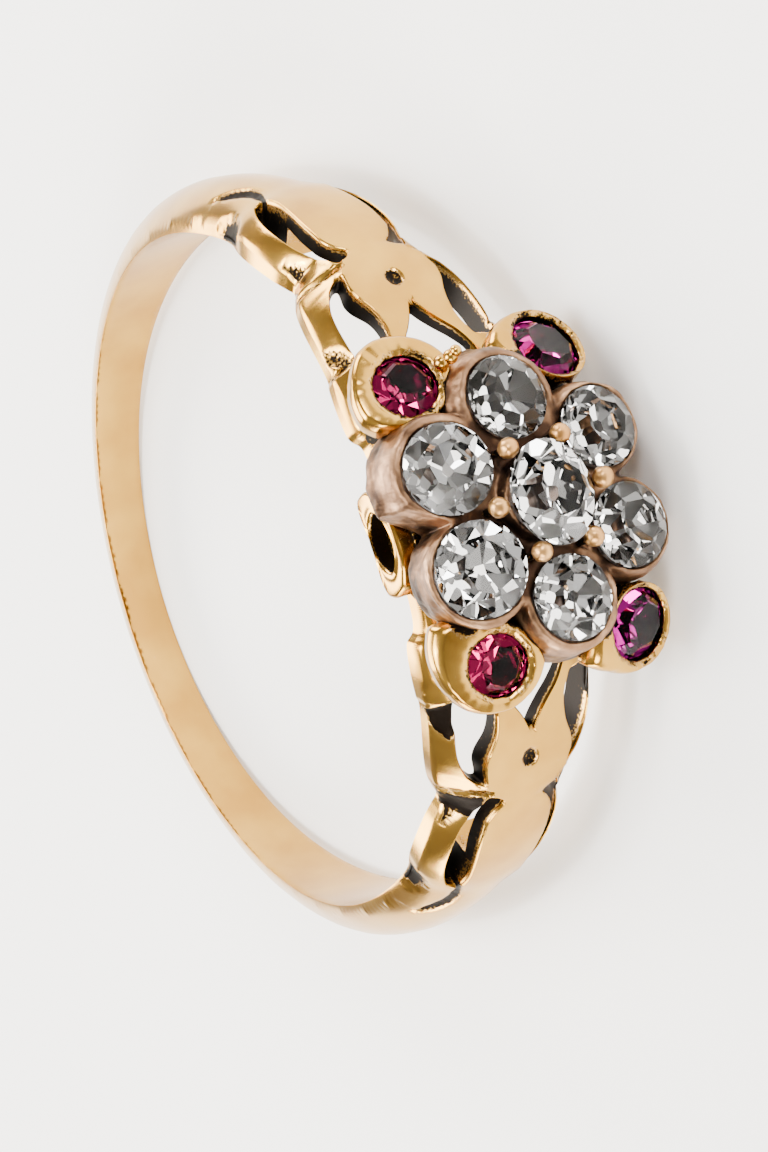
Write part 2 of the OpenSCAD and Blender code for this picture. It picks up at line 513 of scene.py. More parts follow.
@dataclass(frozen=True)
class Placing:
    """Where the head and the hoop are, in millimetres and degrees."""

    rest_lean: float = 8.6
    head_r: float = 11.64
    head_turn: float = 5.0

    def hoop(self) -> Matrix:
        """Hoop axes to the resting pose."""
        return Matrix.Rotation(math.radians(-self.rest_lean), 4, "X")

    def head(self) -> Matrix:
        """Head axes to the resting pose.

        Returns:
            The turn and shift.
        """
        return (
            self.hoop()
            @ Matrix.Rotation(math.radians(90), 4, "X")
            @ Matrix.Translation((0, 0, self.head_r))
            @ Matrix.Rotation(math.radians(self.head_turn), 4, "Y")
        )

    def bore(self) -> Object:
        """Cylinder of the finger hole in head axes, to cut with."""
        obj = peg("bore", BORE_R, -11, 11, 256)
        obj.data.transform((self.hoop().inverted() @ self.head()).inverted())
        return obj


def seat(angle: float, distance: float, height: float, lean: float) -> Matrix:
    """Place of a stone in head axes: turned about the head, moved outwards and leaned outwards.

    Args:
        angle: turn about the head, in degrees.
        distance: way from the head's middle.
        height: height over the head.
        lean: degrees by which it leans outwards.

    Returns:
        The place.
    """
    return (
        Matrix.Rotation(math.radians(angle), 4, "Z")
        @ Matrix.Translation((distance, 0, height))
        @ Matrix.Rotation(math.radians(lean), 4, "Y")
    )


def mesh_points(obj: Object) -> tuple[np.ndarray, np.ndarray]:
    """Positions and normals of an object's points, three columns each.

    Args:
        obj: the object.

    Returns:
        Positions, and normals.
    """
    count = len(obj.data.vertices)
    co, normals = np.empty(count * 3), np.empty(count * 3)
    obj.data.vertices.foreach_get("co", co)
    obj.data.vertices.foreach_get("normal", normals)
    return co.reshape(-1, 3), normals.reshape(-1, 3)


def hollowness(obj: Object, passes: int = 3) -> np.ndarray:
    """How far each point lies below its neighbours, in millimetres, negative on edges.

    Args:
        obj: object with a fine, even mesh.
        passes: how often the values are averaged with their neighbours'.

    Returns:
        One value a point.
    """
    co, normals = mesh_points(obj)
    pairs = np.empty(len(obj.data.edges) * 2, int)
    obj.data.edges.foreach_get("vertices", pairs)
    a, b = pairs.reshape(-1, 2).T
    count = np.maximum(np.bincount(np.r_[a, b], minlength=len(co)), 1)

    def neighbours(values: np.ndarray) -> np.ndarray:
        """Mean of each point's neighbours.

        Args:
            values: one value or row a point.

        Returns:
            The means.
        """
        total = np.zeros_like(values)
        np.add.at(total, a, values[b])
        np.add.at(total, b, values[a])
        return total / (count if values.ndim == 1 else count[:, None])

    value = ((neighbours(co) - co) * normals).sum(1)
    for _ in range(passes):
        value = (value + neighbours(value)) / 2
    return value


def set_recess(obj: Object, values: np.ndarray) -> None:
    """Stores how dark each point is: oxide and tarnish in hollows, and painted shade under and between
    parts.
    """
    layer = obj.data.attributes.new("recess", "FLOAT", "POINT")
    layer.data.foreach_set("value", np.clip(values, 0, 1).astype(np.float32))


@dataclass
class Piece:
    """What each part of the ring has: its finish, and the places of the head and the hoop."""

    material: Material
    placing: Placing

    def dress(
        self,
        obj: Object,
        crease: float | None,
        place: Matrix | None = None,
        slot: Slot = Slot.YELLOW_GOLD,
        nodes: Sequence[str] = ("gold_mount",),
    ) -> None:
        """Puts a piece in its place in metres, gives it its finish, attaches it to the root body and hides
        the CAD nodes that it stands for.

        Args:
            obj: the piece, in millimetres.
            crease: angle in degrees above which an edge looks sharp, or None for flat faces.
            place: turns its own axes into the resting pose; the head's place if it is left out.
            slot: the record's slot for it; not used.
            nodes: CAD nodes that it stands for.
        """
        mesh = obj.data
        mesh.transform(Matrix.Scale(MM, 4) @ (place or self.placing.head()))
        mesh.materials.clear()
        mesh.materials.append(self.material)
        mesh.polygons.foreach_set("material_index", [0] * len(mesh.polygons))
        mesh.polygons.foreach_set("use_smooth", [crease is not None] * len(mesh.polygons))
        if crease is not None:
            mesh.set_sharp_from_angle(angle=math.radians(crease))
        mesh.update()
        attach(obj, "root")
        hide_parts(*nodes)
        LOG.info("%s: %d faces", obj.name, len(mesh.polygons))


# ---- finishes


@dataclass(frozen=True)
class RubbedGold:
    """Old 15 carat yellow gold, cast, filed, polished and worn: warm and slightly rosy, bright on
    the edges, with hairline wear scratches, black oxide left where the polishing cloth never reaches,
    and painted shade in gaps and under parts, both dark where the recess attribute is high."""

    name: str = "rubbed_yellow_gold"
    colour: str = "#C69843"
    warm: str = "#B38436"
    # Colours and limits of the dark where the recess attribute is high: oxide in hollows, and painted shade
    # in gaps and under parts
    oxide_and_shade: str = "#140F0B"
    oxide_and_shade_edge: str = "#7A5A30"
    oxide_and_shade_from: float = 0.94
    oxide_and_shade_full: float = 1.3
    roughness: float = 0.2
    oxide_and_shade_roughness: float = 0.55
    scratch_mm: float = 0.05
    bump: float = 0.05

    def material(self) -> Material:
        """The gold's material.

        Returns:
            The material.
        """
        mat, tree, bsdf = new_material(self.name, {"Metallic": 1.0})
        where = add_node(tree, "ShaderNodeTexCoord").outputs["Object"]
        # Tone of the alloy, cloudy over about 1.5 mm
        tone = ramp(tree, grains(tree, where, 1.5, 3.0), [(0.35, self.warm), (0.65, self.colour)])
        # Crumbs, about 0.07 mm, that break up the oxide and the painted shade, drawn coarser than real oxide
        # so that they show
        crumbs = grains(tree, where, 0.07, 4.0)
        limits = {
            "Value": maths(tree, "MULTIPLY_ADD", crumbs, 1.3, attribute(tree, "recess")),
            "From Min": self.oxide_and_shade_from,
            "From Max": self.oxide_and_shade_full,
        }
        edge = add_node(tree, "ShaderNodeMapRange", limits, clamp=True).outputs[0]
        # Dark of the oxide and of the painted shade, over the alloy's tone
        dark = ramp(tree, edge, [(0.0, "#FFFFFF"), (0.4, self.oxide_and_shade_edge), (0.85, self.oxide_and_shade)])
        # Sockets 6 and 7 of the mix are its two colours, and 2 is the mixed one
        paint = add_node(tree, "ShaderNodeMix", {"Factor": edge, 6: tone, 7: dark}, data_type="RGBA")
        # Hairlines of wear, drawn out along one way
        along = {"Vector": where, "Rotation": (0.6, 0.9, 0.3), "Scale": (1, 1, 0.12)}
        stretch = add_node(tree, "ShaderNodeMapping", along).outputs[0]
        lines = grains(tree, stretch, self.scratch_mm, 2.0)
        relief = maths(tree, "MULTIPLY_ADD", crumbs, edge, lines)
        rough = ranged(tree, edge, self.roughness, self.oxide_and_shade_roughness)
        normal = bumps(tree, relief, self.bump)
        feed(bsdf, {"Base Color": paint.outputs[2], "Roughness": rough, "Normal": normal})
        return mat


@dataclass(frozen=True)
class TarnishedAlloy:
    """Low silver-gold alloy, cast and only rubbed over: pinkish brown tarnish, matte, with lighter
    rubbed patches and fine scratches."""

    rubbed: str = "#C49C78"
    tarnish: str = "#8A684D"
    deep: str = "#33241B"
    roughness: float = 0.43
    roughness_spread: float = 0.12
    bump: float = 0.4

    def material(self) -> Material:
        """The cluster metal's material.

        Returns:
            The material.
        """
        mat, tree, bsdf = new_material("tarnished_silver_gold_alloy", {"Metallic": 1.0})
        where = add_node(tree, "ShaderNodeTexCoord").outputs["Object"]
        # Clouds of tarnish, about 0.8 mm, added to the recess attribute, which holds tarnish in hollows and
        # painted shade low down and towards the middle
        cloud = grains(tree, where, 0.8, 6.0)
        depth = maths(tree, "MULTIPLY_ADD", attribute(tree, "recess"), 0.5, cloud)
        tone = ramp(tree, depth, [(0.42, self.rubbed), (0.6, self.tarnish), (0.88, self.deep)])
        # Casting skin, about 0.06 mm, with scratches drawn out along one way
        stretch = add_node(tree, "ShaderNodeMapping", {"Vector": where, "Scale": (1, 0.2, 1)})
        skin = grains(tree, stretch.outputs[0], 0.06, 5.0)
        rough = ranged(
            tree, skin, self.roughness - self.roughness_spread, self.roughness + self.roughness_spread
        )
        feed(bsdf, {"Base Color": tone, "Roughness": rough, "Normal": bumps(tree, skin, self.bump)})
        return mat


@dataclass(frozen=True)
class CutStone:
    """Clear cut gem: diamond, whose high index throws the light back in hard patches, or ruby, whose
    chromium red deepens with the way through the stone."""

    name: str
    colour: str
    ior: float
    glare: float = 0.06
    # Colour of the back facets that are painted dark as reflections
    dark_reflection: str = "#2A2620"

    def material(self) -> Material:
        """The stone's material.

        Returns:
            The material.
        """
        tint = (self.glare, self.glare, self.glare, 1.0)
        mat, tree, bsdf = new_material(self.name, {"Roughness": 0.0, "IOR": self.ior, "Specular Tint": tint})
        # Painted dark reflections: single facets of the back are opaque and dark, seen from above as dark
        # patches
        dark_reflection = attribute(tree, "dark_reflection")
        tone = ramp(tree, dark_reflection, [(0.0, self.colour), (1.0, self.dark_reflection)])
        feed(bsdf, {"Base Color": tone, "Transmission Weight": maths(tree, "SUBTRACT", 1.0, dark_reflection)})
        return mat


@dataclass(frozen=True)
class PalePaper:
    """Matte white paper sweep."""

    colour: str = "#F6F5F3"
    roughness: float = 0.9

    def material(self) -> Material:
        """The floor's material."""
        look = {"Base Color": srgb(self.colour), "Roughness": self.roughness}
        return new_material("white_paper", look)[0]


# ---- the hoop and its shoulders


@dataclass
class Border:
    """Edges of the unrolled strip: for each its points, whether it is closed, and its kind. The
    hoop's side comes first."""

    chains: Sequence[tuple[np.ndarray, bool, Edge]]

    def __post_init__(self) -> None:
        """Gathers all points, which are pierced, and the pairs of them that the edges join."""
        self.points = np.vstack([points for points, _, _ in self.chains])
        self.pierced = np.concatenate(
            [np.full(len(points), kind is Edge.PIERCED) for points, _, kind in self.chains]
        )
        pairs, first = [], 0
        for points, closed, _ in self.chains:
            ids = np.arange(first, first + len(points))
            pairs.append(np.c_[ids, np.roll(ids, -1)][: len(ids) if closed else -1])
            first += len(ids)
        self.pairs = np.vstack(pairs)
        self.starts, self.ends = self.points[self.pairs[:, 0]], self.points[self.pairs[:, 1]]

    def distance(self, points: np.ndarray) -> np.ndarray:
        """Distance of each point of the strip from the nearest edge."""
        return line_distance(points, self.starts, self.ends)

    def within(self, points: np.ndarray) -> np.ndarray:
        """Which points of the strip are metal.

        Args:
            points: places on the strip.

        Returns:
            True for metal.
        """
        sides = self.chains[0][0]
        result = inside(np.vstack([sides, [(sides[-1, 0], 0), (sides[0, 0], 0)]]), points)
        for loop, _, _ in self.chains[1:]:
            result &= ~inside(loop, points)
        return result


@dataclass
class Band(Piece):
    """Plain hoop with two pierced and carved shoulders, worked as relief over an unrolled strip.

    The strip's first axis is the angle from the head times ARC_MM, its second the height along the
    finger. Sizes are millimetres and degrees."""

    drum_shift: float = -0.23
    drum_hole_r: float = 2.3
    edge_round: float = 0.06
    grid: float = 0.065
    low_grid: float = 0.22
    wave: float = 0.011
    least: float = 0.16
    # Spacing of the points along the edges and round the piercings
    edge_step: float = 0.05
    gap_step: float = 0.045
    shoulder_end: float = 76.0
    hoop_steps: int = 80
    # Share of the hoop's half width at which rows of points run along it
    hoop_rows: Row = (0, 0.14, 0.28, 0.42, 0.55, 0.67, 0.78, 0.87)
    # Angles between which the strap and the leaves fade in and out, and the leaves' outer ridge
    worked: tuple[Row, Row] = ((22, 27), (60, 66))
    ridge: Table = ((25, 8.9), (45, 8.9), (60, 9.0))
    hollow_ends: tuple[float, float] = (24.0, 57.0)
    hollow_dark: float = 0.42
    # Height along the finger and radius of the shoulders' hollow backs
    hollow: Table = ((0, 9.4), (0.31, 9.4), (0.92, 9.36), (1.29, 9.15), (1.42, 8.7), (1.45, 8.5))
    # Depth and oxide of the rows of the walls, from the top to the bore
    walls: Table = ((0.0, 0.0), (0.1, 0.35), (0.25, 0.75), (0.5, 0.95), (1.0, 0.9))
    # Angle, half width, height of the sides, radius of the top, fall of the back
    outline: Table = (
        (0, 2.45, 0.4, 9.35, 0.36), (9, 2.38, 0.4, 9.4, 0.36), (15, 2.36, 0.36, 9.5, 0.37),
        (17.4, 2.6, 0.36, 9.54, 0.38), (22, 2.58, 0.33, 9.7, 0.4), (26.4, 2.46, 0.3, 9.82, 0.43),
        (28, 2.37, 0.3, 9.84, 0.43), (34, 2.27, 0.3, 9.9, 0.43),
        (38, 2.18, 0.3, 9.9, 0.43), (42, 2.02, 0.3, 9.9, 0.43), (45, 1.78, 0.3, 9.9, 0.43),
        (47, 1.6, 0.3, 9.9, 0.43), (49, 1.68, 0.3, 9.9, 0.43), (52, 1.78, 0.3, 9.9, 0.43),
        (57, 1.82, 0.28, 9.88, 0.43), (62, 1.74, 0.24, 9.82, 0.45), (67, 1.5, 0.16, 9.74, 0.5),
        (73, 1.44, 0.1, 9.68, 0.6), (82, 1.4, 0.06, 9.62, 0.7), (94, 1.24, 0.06, 9.56, 0.8),
        (112, 0.98, 0.06, 9.5, 0.9), (134, 0.74, 0.06, 9.46, 0.95), (157, 0.61, 0.06, 9.42, 1),
        (180, 0.57, 0.06, 9.42, 1),
    )
    # Piercings beside the strap: angle, edge of the strap, edge of the leaf
    back_gap: Table = (
        (43.2, 0.82, 0.98), (44.4, 0.55, 1.06), (45.5, 0.74, 1.14), (47.5, 0.93, 1.24),
        (50, 0.97, 1.38), (53, 0.97, 1.45), (57, 0.9, 1.45), (60.5, 0.84, 1.34), (63.5, 0.88, 1.12),
    )
    front_gap: Table = (
        (25.5, 1.2, 1.9), (28, 1.02, 1.92), (30.5, 0.98, 1.92), (33, 1.04, 1.9), (35.5, 1.2, 1.84),
        (37.5, 1.25, 1.72), (39.5, 1.18, 1.52), (40.6, 1.16, 1.28),
    )
    # Notch between the tines: angle, half width
    fork: Table = (
        (33.4, 0.0), (31, 0.18), (29, 0.4), (27, 0.68), (24.5, 0.95), (22, 1.1), (19.5, 1.05), (17.5, 0.9),
    )
    # Cuts, by angle and height. The groove parts the two leaves, the notch has a rough floor, the
    # wedges in the front leaves differ from shoulder to shoulder, the nick parts the first shoulder's
    # leaf from the collet, and the crescent marks the shoulder's end
    groove: Table = ((42.3, 1.0), (42.4, 1.39), (43.2, 1.75), (43.8, 2.1))
    notch: Table = ((46.4, 1.3), (46.7, 1.57), (48.6, 1.66), (50.8, 1.74), (50.7, 1.63), (48.2, 1.43))
    wedges: tuple[Table, Table] = (
        ((32.5, 2.33), (32.3, 2.27), (29.9, 2.0), (27.7, 1.92), (26.9, 2.21), (29.3, 2.39)),
        ((28.0, 2.43), (25.8, 1.95), (26.6, 1.72), (30.2, 1.8), (33.4, 2.0), (31.4, 2.3)),
    )
    nick: Table = ((27.6, 1.85), (27.3, 2.2), (27.0, 2.6))
    crescent: Table = ((75.6, 0.98), (72.4, 0.83), (69.3, 0.71), (67, 0.69), (65, 0.77), (62.6, 0.9))
    # Angle, height, half length, half width and depth of the scooped claw and of the punched dot
    claw: Row = (68.6, 1.75, 0.85, 0.46, 0.45)
    dot: Row = (37.4, 0.0, 0.31, 0.24, 0.11)
    curves: dict[str, np.ndarray] = field(default_factory=dict)

    def strip(self, rows: Table) -> np.ndarray:
        """Rows of angle and height as points of the strip."""
        return np.array([(a * ARC_MM, y) for a, y in rows])

    def size_at(self, angle: np.ndarray, column: int) -> np.ndarray:
        """One column of the smooth outline at angles either side of the head."""
        dense = self.curves.setdefault("outline", catmull(self.outline, 8))
        return np.interp(np.abs(angle), dense[:, 0], dense[:, column])

    def gap_loop(self, rows: Table) -> np.ndarray:
        """Closed outline of a piercing on the strip.

        Args:
            rows: angle, edge of the strap and edge of the leaf.

        Returns:
            The outline's points.
        """
        dense = catmull(rows, 6)
        low, high = self.strip(dense[:, :2]), self.strip(dense[:, (0, 2)])
        ring = np.vstack([low, high[::-1], low[:1]])
        return softened(resample(ring, self.gap_step)[:-1], 4)

    def border(self) -> Border:
        """Lays out the edges of the strip.

        Returns:
            The hoop's side, the piercings and the hole under the drum.
        """
        end = self.shoulder_end
        plain = np.linspace(end, 180, self.hoop_steps + 1)
        fine = np.linspace(0, end, int(end * ARC_MM / self.edge_step))
        angles = np.r_[-plain[::-1], -fine[1:-1][::-1], fine[:-1], plain]
        made = [(np.c_[angles * ARC_MM, self.size_at(angles, 1)], False, Edge.SIDE)]
        fork = self.strip([*catmull(self.fork, 6), (self.fork[-1][0], 0.0)])
        fork = resample(fork, self.edge_step)
        fork[1:-1] = softened(fork, 2)[1:-1]
        for side in (1, -1):
            made.append((fork * (side, 1), False, Edge.PIERCED))
            for rows in (self.back_gap, self.front_gap):
                made.append((self.gap_loop(rows) * (side, 1), True, Edge.PIERCED))
        turn = np.linspace(0, math.pi, 140)
        ring = np.c_[self.drum_shift + self.drum_hole_r * np.cos(turn), self.drum_hole_r * np.sin(turn)]
        ring[[0, -1], 1] = 0
        return Border([*made, (ring, False, Edge.PIERCED)])

    def raised(self, angle: np.ndarray, y: np.ndarray) -> np.ndarray:
        """Radius of the uncut top: flat strap, leaves that fall to a ridge, domed hoop.

        Args:
            angle: degrees from the head.
            y: height along the finger.

        Returns:
            One radius a point.
        """
        a = np.abs(angle)
        w, side, top, fall = (self.size_at(a, k) for k in (1, 2, 3, 4))
        base = BORE_R + side
        full = base + (top - base) * np.maximum(1 - np.clip(y / w, 0, 1) ** 2, 0) ** fall
        keys = np.array([*self.front_gap, *self.back_gap])
        strap, leaf = (np.interp(a, keys[:, 0], keys[:, k]) for k in (1, 2))
        flat = top - 0.05 * np.clip(y / strap, 0, 1.3) ** 2
        start = base + (top - base) * np.maximum(1 - (leaf / w) ** 2, 0.05) ** fall
        ridge = np.interp(a, *zip(*self.ridge))
        u = np.clip((y - leaf) / np.maximum(w - leaf, 0.05), 0, 1)
        slope = start + (ridge - start) * u**1.3
        step = smoothstep(0.0, 1.0, (y - strap) / np.maximum(leaf - strap, 0.1))
        worked = flat + (slope - flat) * step
        rise, fade = self.worked
        share = smoothstep(*rise, a) * (1 - smoothstep(*fade, a))
        return full + (worked - full) * share

    def sunk(self, points: np.ndarray, rows: Table, soft: float) -> np.ndarray:
        """How far inside a loop points are.

        Args:
            points: places on the strip.
            rows: angle and height of the loop's corners.
            soft: distance in millimetres from the loop at which the value is 1.

        Returns:
            0 outside the loop and on it, up to 1 within.
        """
        loop = self.strip(rows)
        near = line_distance(points, loop, np.roll(loop, -1, 0))
        return smoothstep(0, soft, np.where(inside(loop, points), near, 0))

    def carving(self, points: np.ndarray) -> tuple[np.ndarray, np.ndarray]:
        """Graver's cuts on the shoulders.

        Args:
            points: places on the strip.

        Returns:
            Depth of the cut, and how dark it is: oxide in the cuts, and painted shade in the scooped claw.
        """
        p = np.abs(points)
        x, y = p.T
        upper = points[:, 0] > 0
        depth, dark = np.zeros(len(p)), np.zeros(len(p))

        def sink(shape: np.ndarray, deep: float, shade: float | np.ndarray, low: float, high: float) -> None:
            """Cuts a shape with values from 0 to 1, and darkens it where it goes from low to high."""
            np.add(depth, deep * shape, out=depth)
            np.maximum(dark, shade * smoothstep(low, high, shape), out=dark)

        def beside(rows: Table, width: float) -> np.ndarray:
            """Shape of a groove along a path."""
            return np.clip(1 - path_place(p, self.strip(rows))[0] / width, 0, 1)

        sink(beside(self.groove, 0.1), 0.2, 0.7, 0.3, 0.8)
        # Back leaf: a bright facet that falls to the notch, dark on the second shoulder
        off = x - np.interp(y, [1.15, 1.5, 1.9], np.array([46.0, 46.6, 47.2]) * ARC_MM)
        v = np.clip((y - 1.15) / 0.5, 0, 1)
        front, back = np.clip(1 + off / 0.42, 0, 1), np.clip(1 - off / (0.12 + 0.25 * v), 0, 1)
        facet = front * (off <= 0) + back * (off > 0)
        depth += (0.03 + 0.16 * v) * facet * smoothstep(1.05, 1.2, y)
        flank = smoothstep(-0.56, -0.46, off) * smoothstep(0.24, 0.14, off) * smoothstep(1.0, 1.15, y)
        np.maximum(dark, 0.95 * flank * ~upper, out=dark)
        sink(self.sunk(p, self.notch, 0.09), 0.1, 0.8, 0.2, 0.8)
        for side, rows in zip((upper, ~upper), self.wedges):
            sink(self.sunk(p, rows, 0.14) * side, 0.15, np.where(upper, 0.6, 1.0), 0.02, 0.4)
        sink(beside(self.nick, 0.08) * upper, 0.16, 0.75, 0.3, 0.8)
        d, along = path_place(p, self.strip(self.crescent))
        breadth = 0.04 + 0.15 * np.sin(np.pi * np.clip(along, 0.02, 0.98)) ** 0.8
        sink(np.clip(1 - d / breadth, 0, 1), 0.13, 0.95, 0.1, 0.5)
        # Scooped claw below the crescent, with a lump in it, and painted shade on its half towards the head
        angle, height, long, wide, deep = self.claw
        bowl = np.sqrt(np.clip(1 - ((x - angle * ARC_MM) / long) ** 2 - ((y - height) / wide) ** 2, 0, 1))
        lump = np.exp(-(((x - 70.6 * ARC_MM) / 0.15) ** 2))
        depth += (deep - 0.14 * lump) * bowl
        # Painted shade: only the half of the scoop towards the head is darkened
        shade = bowl * smoothstep(0.1, -0.1, x - 69.7 * ARC_MM)
        np.maximum(dark, smoothstep(0.1, 0.45, shade), out=dark)
        # Punched dot on the strap
        angle, height, long, wide, deep = self.dot
        bowl = np.clip(1 - np.hypot((x - angle * ARC_MM) / long, (y - height) / wide) ** 2, 0, 1)
        depth += deep * bowl**0.7
        np.maximum(dark, 0.75 * smoothstep(0.05, 0.5, bowl), out=dark)
        return depth, dark

    def under(self, strip: np.ndarray) -> np.ndarray:
        """Radius of the bore, or of a shoulder's hollow back, at points of the strip.

        Args:
            strip: the points.

        Returns:
            One radius a point.
        """
        angle, y = np.abs(strip[:, 0]) / ARC_MM, strip[:, 1]
        rows = np.array(self.hollow)
        deep = np.interp(y, rows[:, 0], rows[:, 1])
        first, last = self.hollow_ends
        share = np.interp(angle, [first - 0.05, first + 0.05, last - 0.05, last + 0.05], [0, 1, 1, 0])
        return BORE_R + (deep - BORE_R) * share

    def hollow_lines(self) -> np.ndarray:
        """Points along the edges of the hollow backs, which keep them crisp.

        Returns:
            The points.
        """
        lines = []
        for side in (1, -1):
            for end in self.hollow_ends:
                for angle in (end - 0.05, end + 0.05):
                    y = np.arange(0.0, self.hollow[-1][0] + 0.05, 0.1)
                    lines.append(np.c_[np.full(len(y), side * angle * ARC_MM), y])
            for y, _ in self.hollow[1:]:
                x = np.arange(self.hollow_ends[0] + 0.4, self.hollow_ends[1] - 0.2, 0.6) * ARC_MM
                lines.append(np.c_[side * x, np.full(len(x), y)])
        return np.vstack(lines)

    def skin(
        self, border: Border, spacing: float, insets: Row, more: Iterable[Row] = ()
    ) -> tuple[np.ndarray, np.ndarray]:
        """Triangulates the strip.

        Args:
            border: its edges.
            spacing: distance between points inside the shoulders.
            insets: distances from the edges at which rows of points run along them.
            more: further points to include.

        Returns:
            The points, and the triangles as point numbers. The border's points come first.
        """
        way = border.ends - border.starts
        normal = np.c_[-way[:, 1], way[:, 0]] / np.maximum(np.hypot(*way.T), 1e-9)[:, None]
        rows = []
        for inset in insets:
            for side in (1, -1):
                row = (border.starts + border.ends) / 2 + side * inset * normal
                row = row[border.within(row) & (row[:, 1] > 0.02)]
                rows.append(row[border.distance(row) > 0.93 * inset])
        limit = self.shoulder_end * ARC_MM
        inner = []
        for k, y in enumerate(np.arange(0.0, 2.7, spacing * 0.87)):
            x = np.arange(-limit, limit, spacing) + k % 2 * spacing / 2
            inner.append(np.c_[x, np.full(len(x), y)])
        inner = np.vstack(inner)
        inner = inner[border.within(inner + (0, 1e-4))]
        inner = inner[border.distance(inner) > insets[-1] + 0.45 * spacing]
        plain = np.linspace(self.shoulder_end, 180, int((180 - self.shoulder_end) / 1.5))
        hoop = [
            (angle * ARC_MM, share * float(self.size_at(angle, 1)))
            for angle in np.r_[-plain[::-1], plain]
            for share in self.hoop_rows
        ]
        more = np.array([*more], float).reshape(-1, 2)
        more = more[border.within(more + (0, 1e-4))]
        more = more[border.distance(more) > 0.02]
        points = np.vstack([border.points, *rows, inner, hoop, more])
        verts, _, faces, _, _, _ = delaunay_2d_cdt(
            [Vector(p) for p in points], border.pairs.tolist(), [], 0, 1e-5
        )
        flat = np.array([v[:] for v in verts])
        tris = np.array([f for f in faces if len(f) == 3])
        b, c = (flat[tris[:, k]] - flat[tris[:, 0]] for k in (1, 2))
        area = b[:, 0] * c[:, 1] - b[:, 1] * c[:, 0]
        metal = border.within(flat[tris].mean(1)) & (np.abs(area) > 1e-9)
        tris, area = tris[metal], area[metal]
        tris[area < 0] = tris[area < 0][:, ::-1]
        return flat, tris

    def rolled(self, strip: np.ndarray, radius: np.ndarray) -> np.ndarray:
        """Points of the strip at a radius as points in hoop axes."""
        a = np.radians(strip[:, 0] / ARC_MM)
        return np.c_[radius * np.sin(a), -radius * np.cos(a), strip[:, 1]]

    def top(self, border: Border, strip: np.ndarray) -> tuple[np.ndarray, np.ndarray]:
        """Shape of the finished top.

        Args:
            border: edges of the strip.
            strip: points of the strip.

        Returns:
            For each point its radius, and how dark it is.
        """
        angle, y = strip[:, 0] / ARC_MM, strip[:, 1]
        raw = self.raised(angle, y)
        depth, dark = self.carving(strip)
        near = border.distance(strip)
        left = np.clip(self.edge_round - near, 0, self.edge_round)
        drop = self.edge_round - np.sqrt(np.maximum(self.edge_round**2 - left**2, 0))
        rough = 0.012 * grain(np.c_[strip * 3, angle * 0], 0.12) * dark
        wave = self.wave * grain(np.c_[strip, angle * 0], 0.9)
        radius = raw - depth + rough + wave * smoothstep(0.0, 0.3, near)
        floor = self.under(strip)
        return np.maximum(radius - drop, floor + np.minimum(self.least, 0.55 * (raw - floor))), dark

    def build(self) -> None:
        """Makes the band and attaches it to the root body."""
        border = self.border()
        top, top_faces = self.skin(border, self.grid, (0.014, 0.034, self.edge_round))
        low, low_faces = self.skin(border, self.low_grid, (0.03,), self.hollow_lines())
        high, dark = self.top(border, top)
        low_r = self.under(low) + 0.02 * np.clip(1 - border.distance(low) / 0.03, 0, 1)
        points = [self.rolled(top, high), self.rolled(low, low_r)]
        recess = [dark, self.hollow_dark * smoothstep(0.02, 0.3, low_r - BORE_R)]
        faces = [tuple(f) for f in top_faces] + [tuple(f[::-1] + len(top)) for f in low_faces]
        # Walls between the two skins, in rows from the top to the bore
        edge_r, edge_dark = self.top(border, border.points)
        foot_r = self.under(border.points) + 0.02
        for level, shade in self.walls:
            points.append(self.rolled(border.points, edge_r + (foot_r - edge_r) * level))
            wall_dark = np.maximum(shade, edge_dark)
            recess.append(np.where(border.pierced, wall_dark, edge_dark * (1 - level)))
        recess[1][: len(border.points)] = recess[-1]
        rows = len(top) + len(low) + len(border.points) * np.arange(len(self.walls))
        for a, b in border.pairs:
            for upper, lower in zip(rows, rows[1:]):
                faces.append((upper + a, upper + b, lower + b, lower + a))
        half, values = np.vstack(points), np.concatenate(recess)
        faces += [tuple(i + len(half) for i in reversed(f)) for f in faces]
        obj = new_object("band", np.vstack([half, half * (1, 1, -1)]), faces)
        set_recess(obj, np.tile(values, 2))
        clean(obj, 2e-4)
        self.dress(obj, 42, self.placing.hoop())


# ---- the head


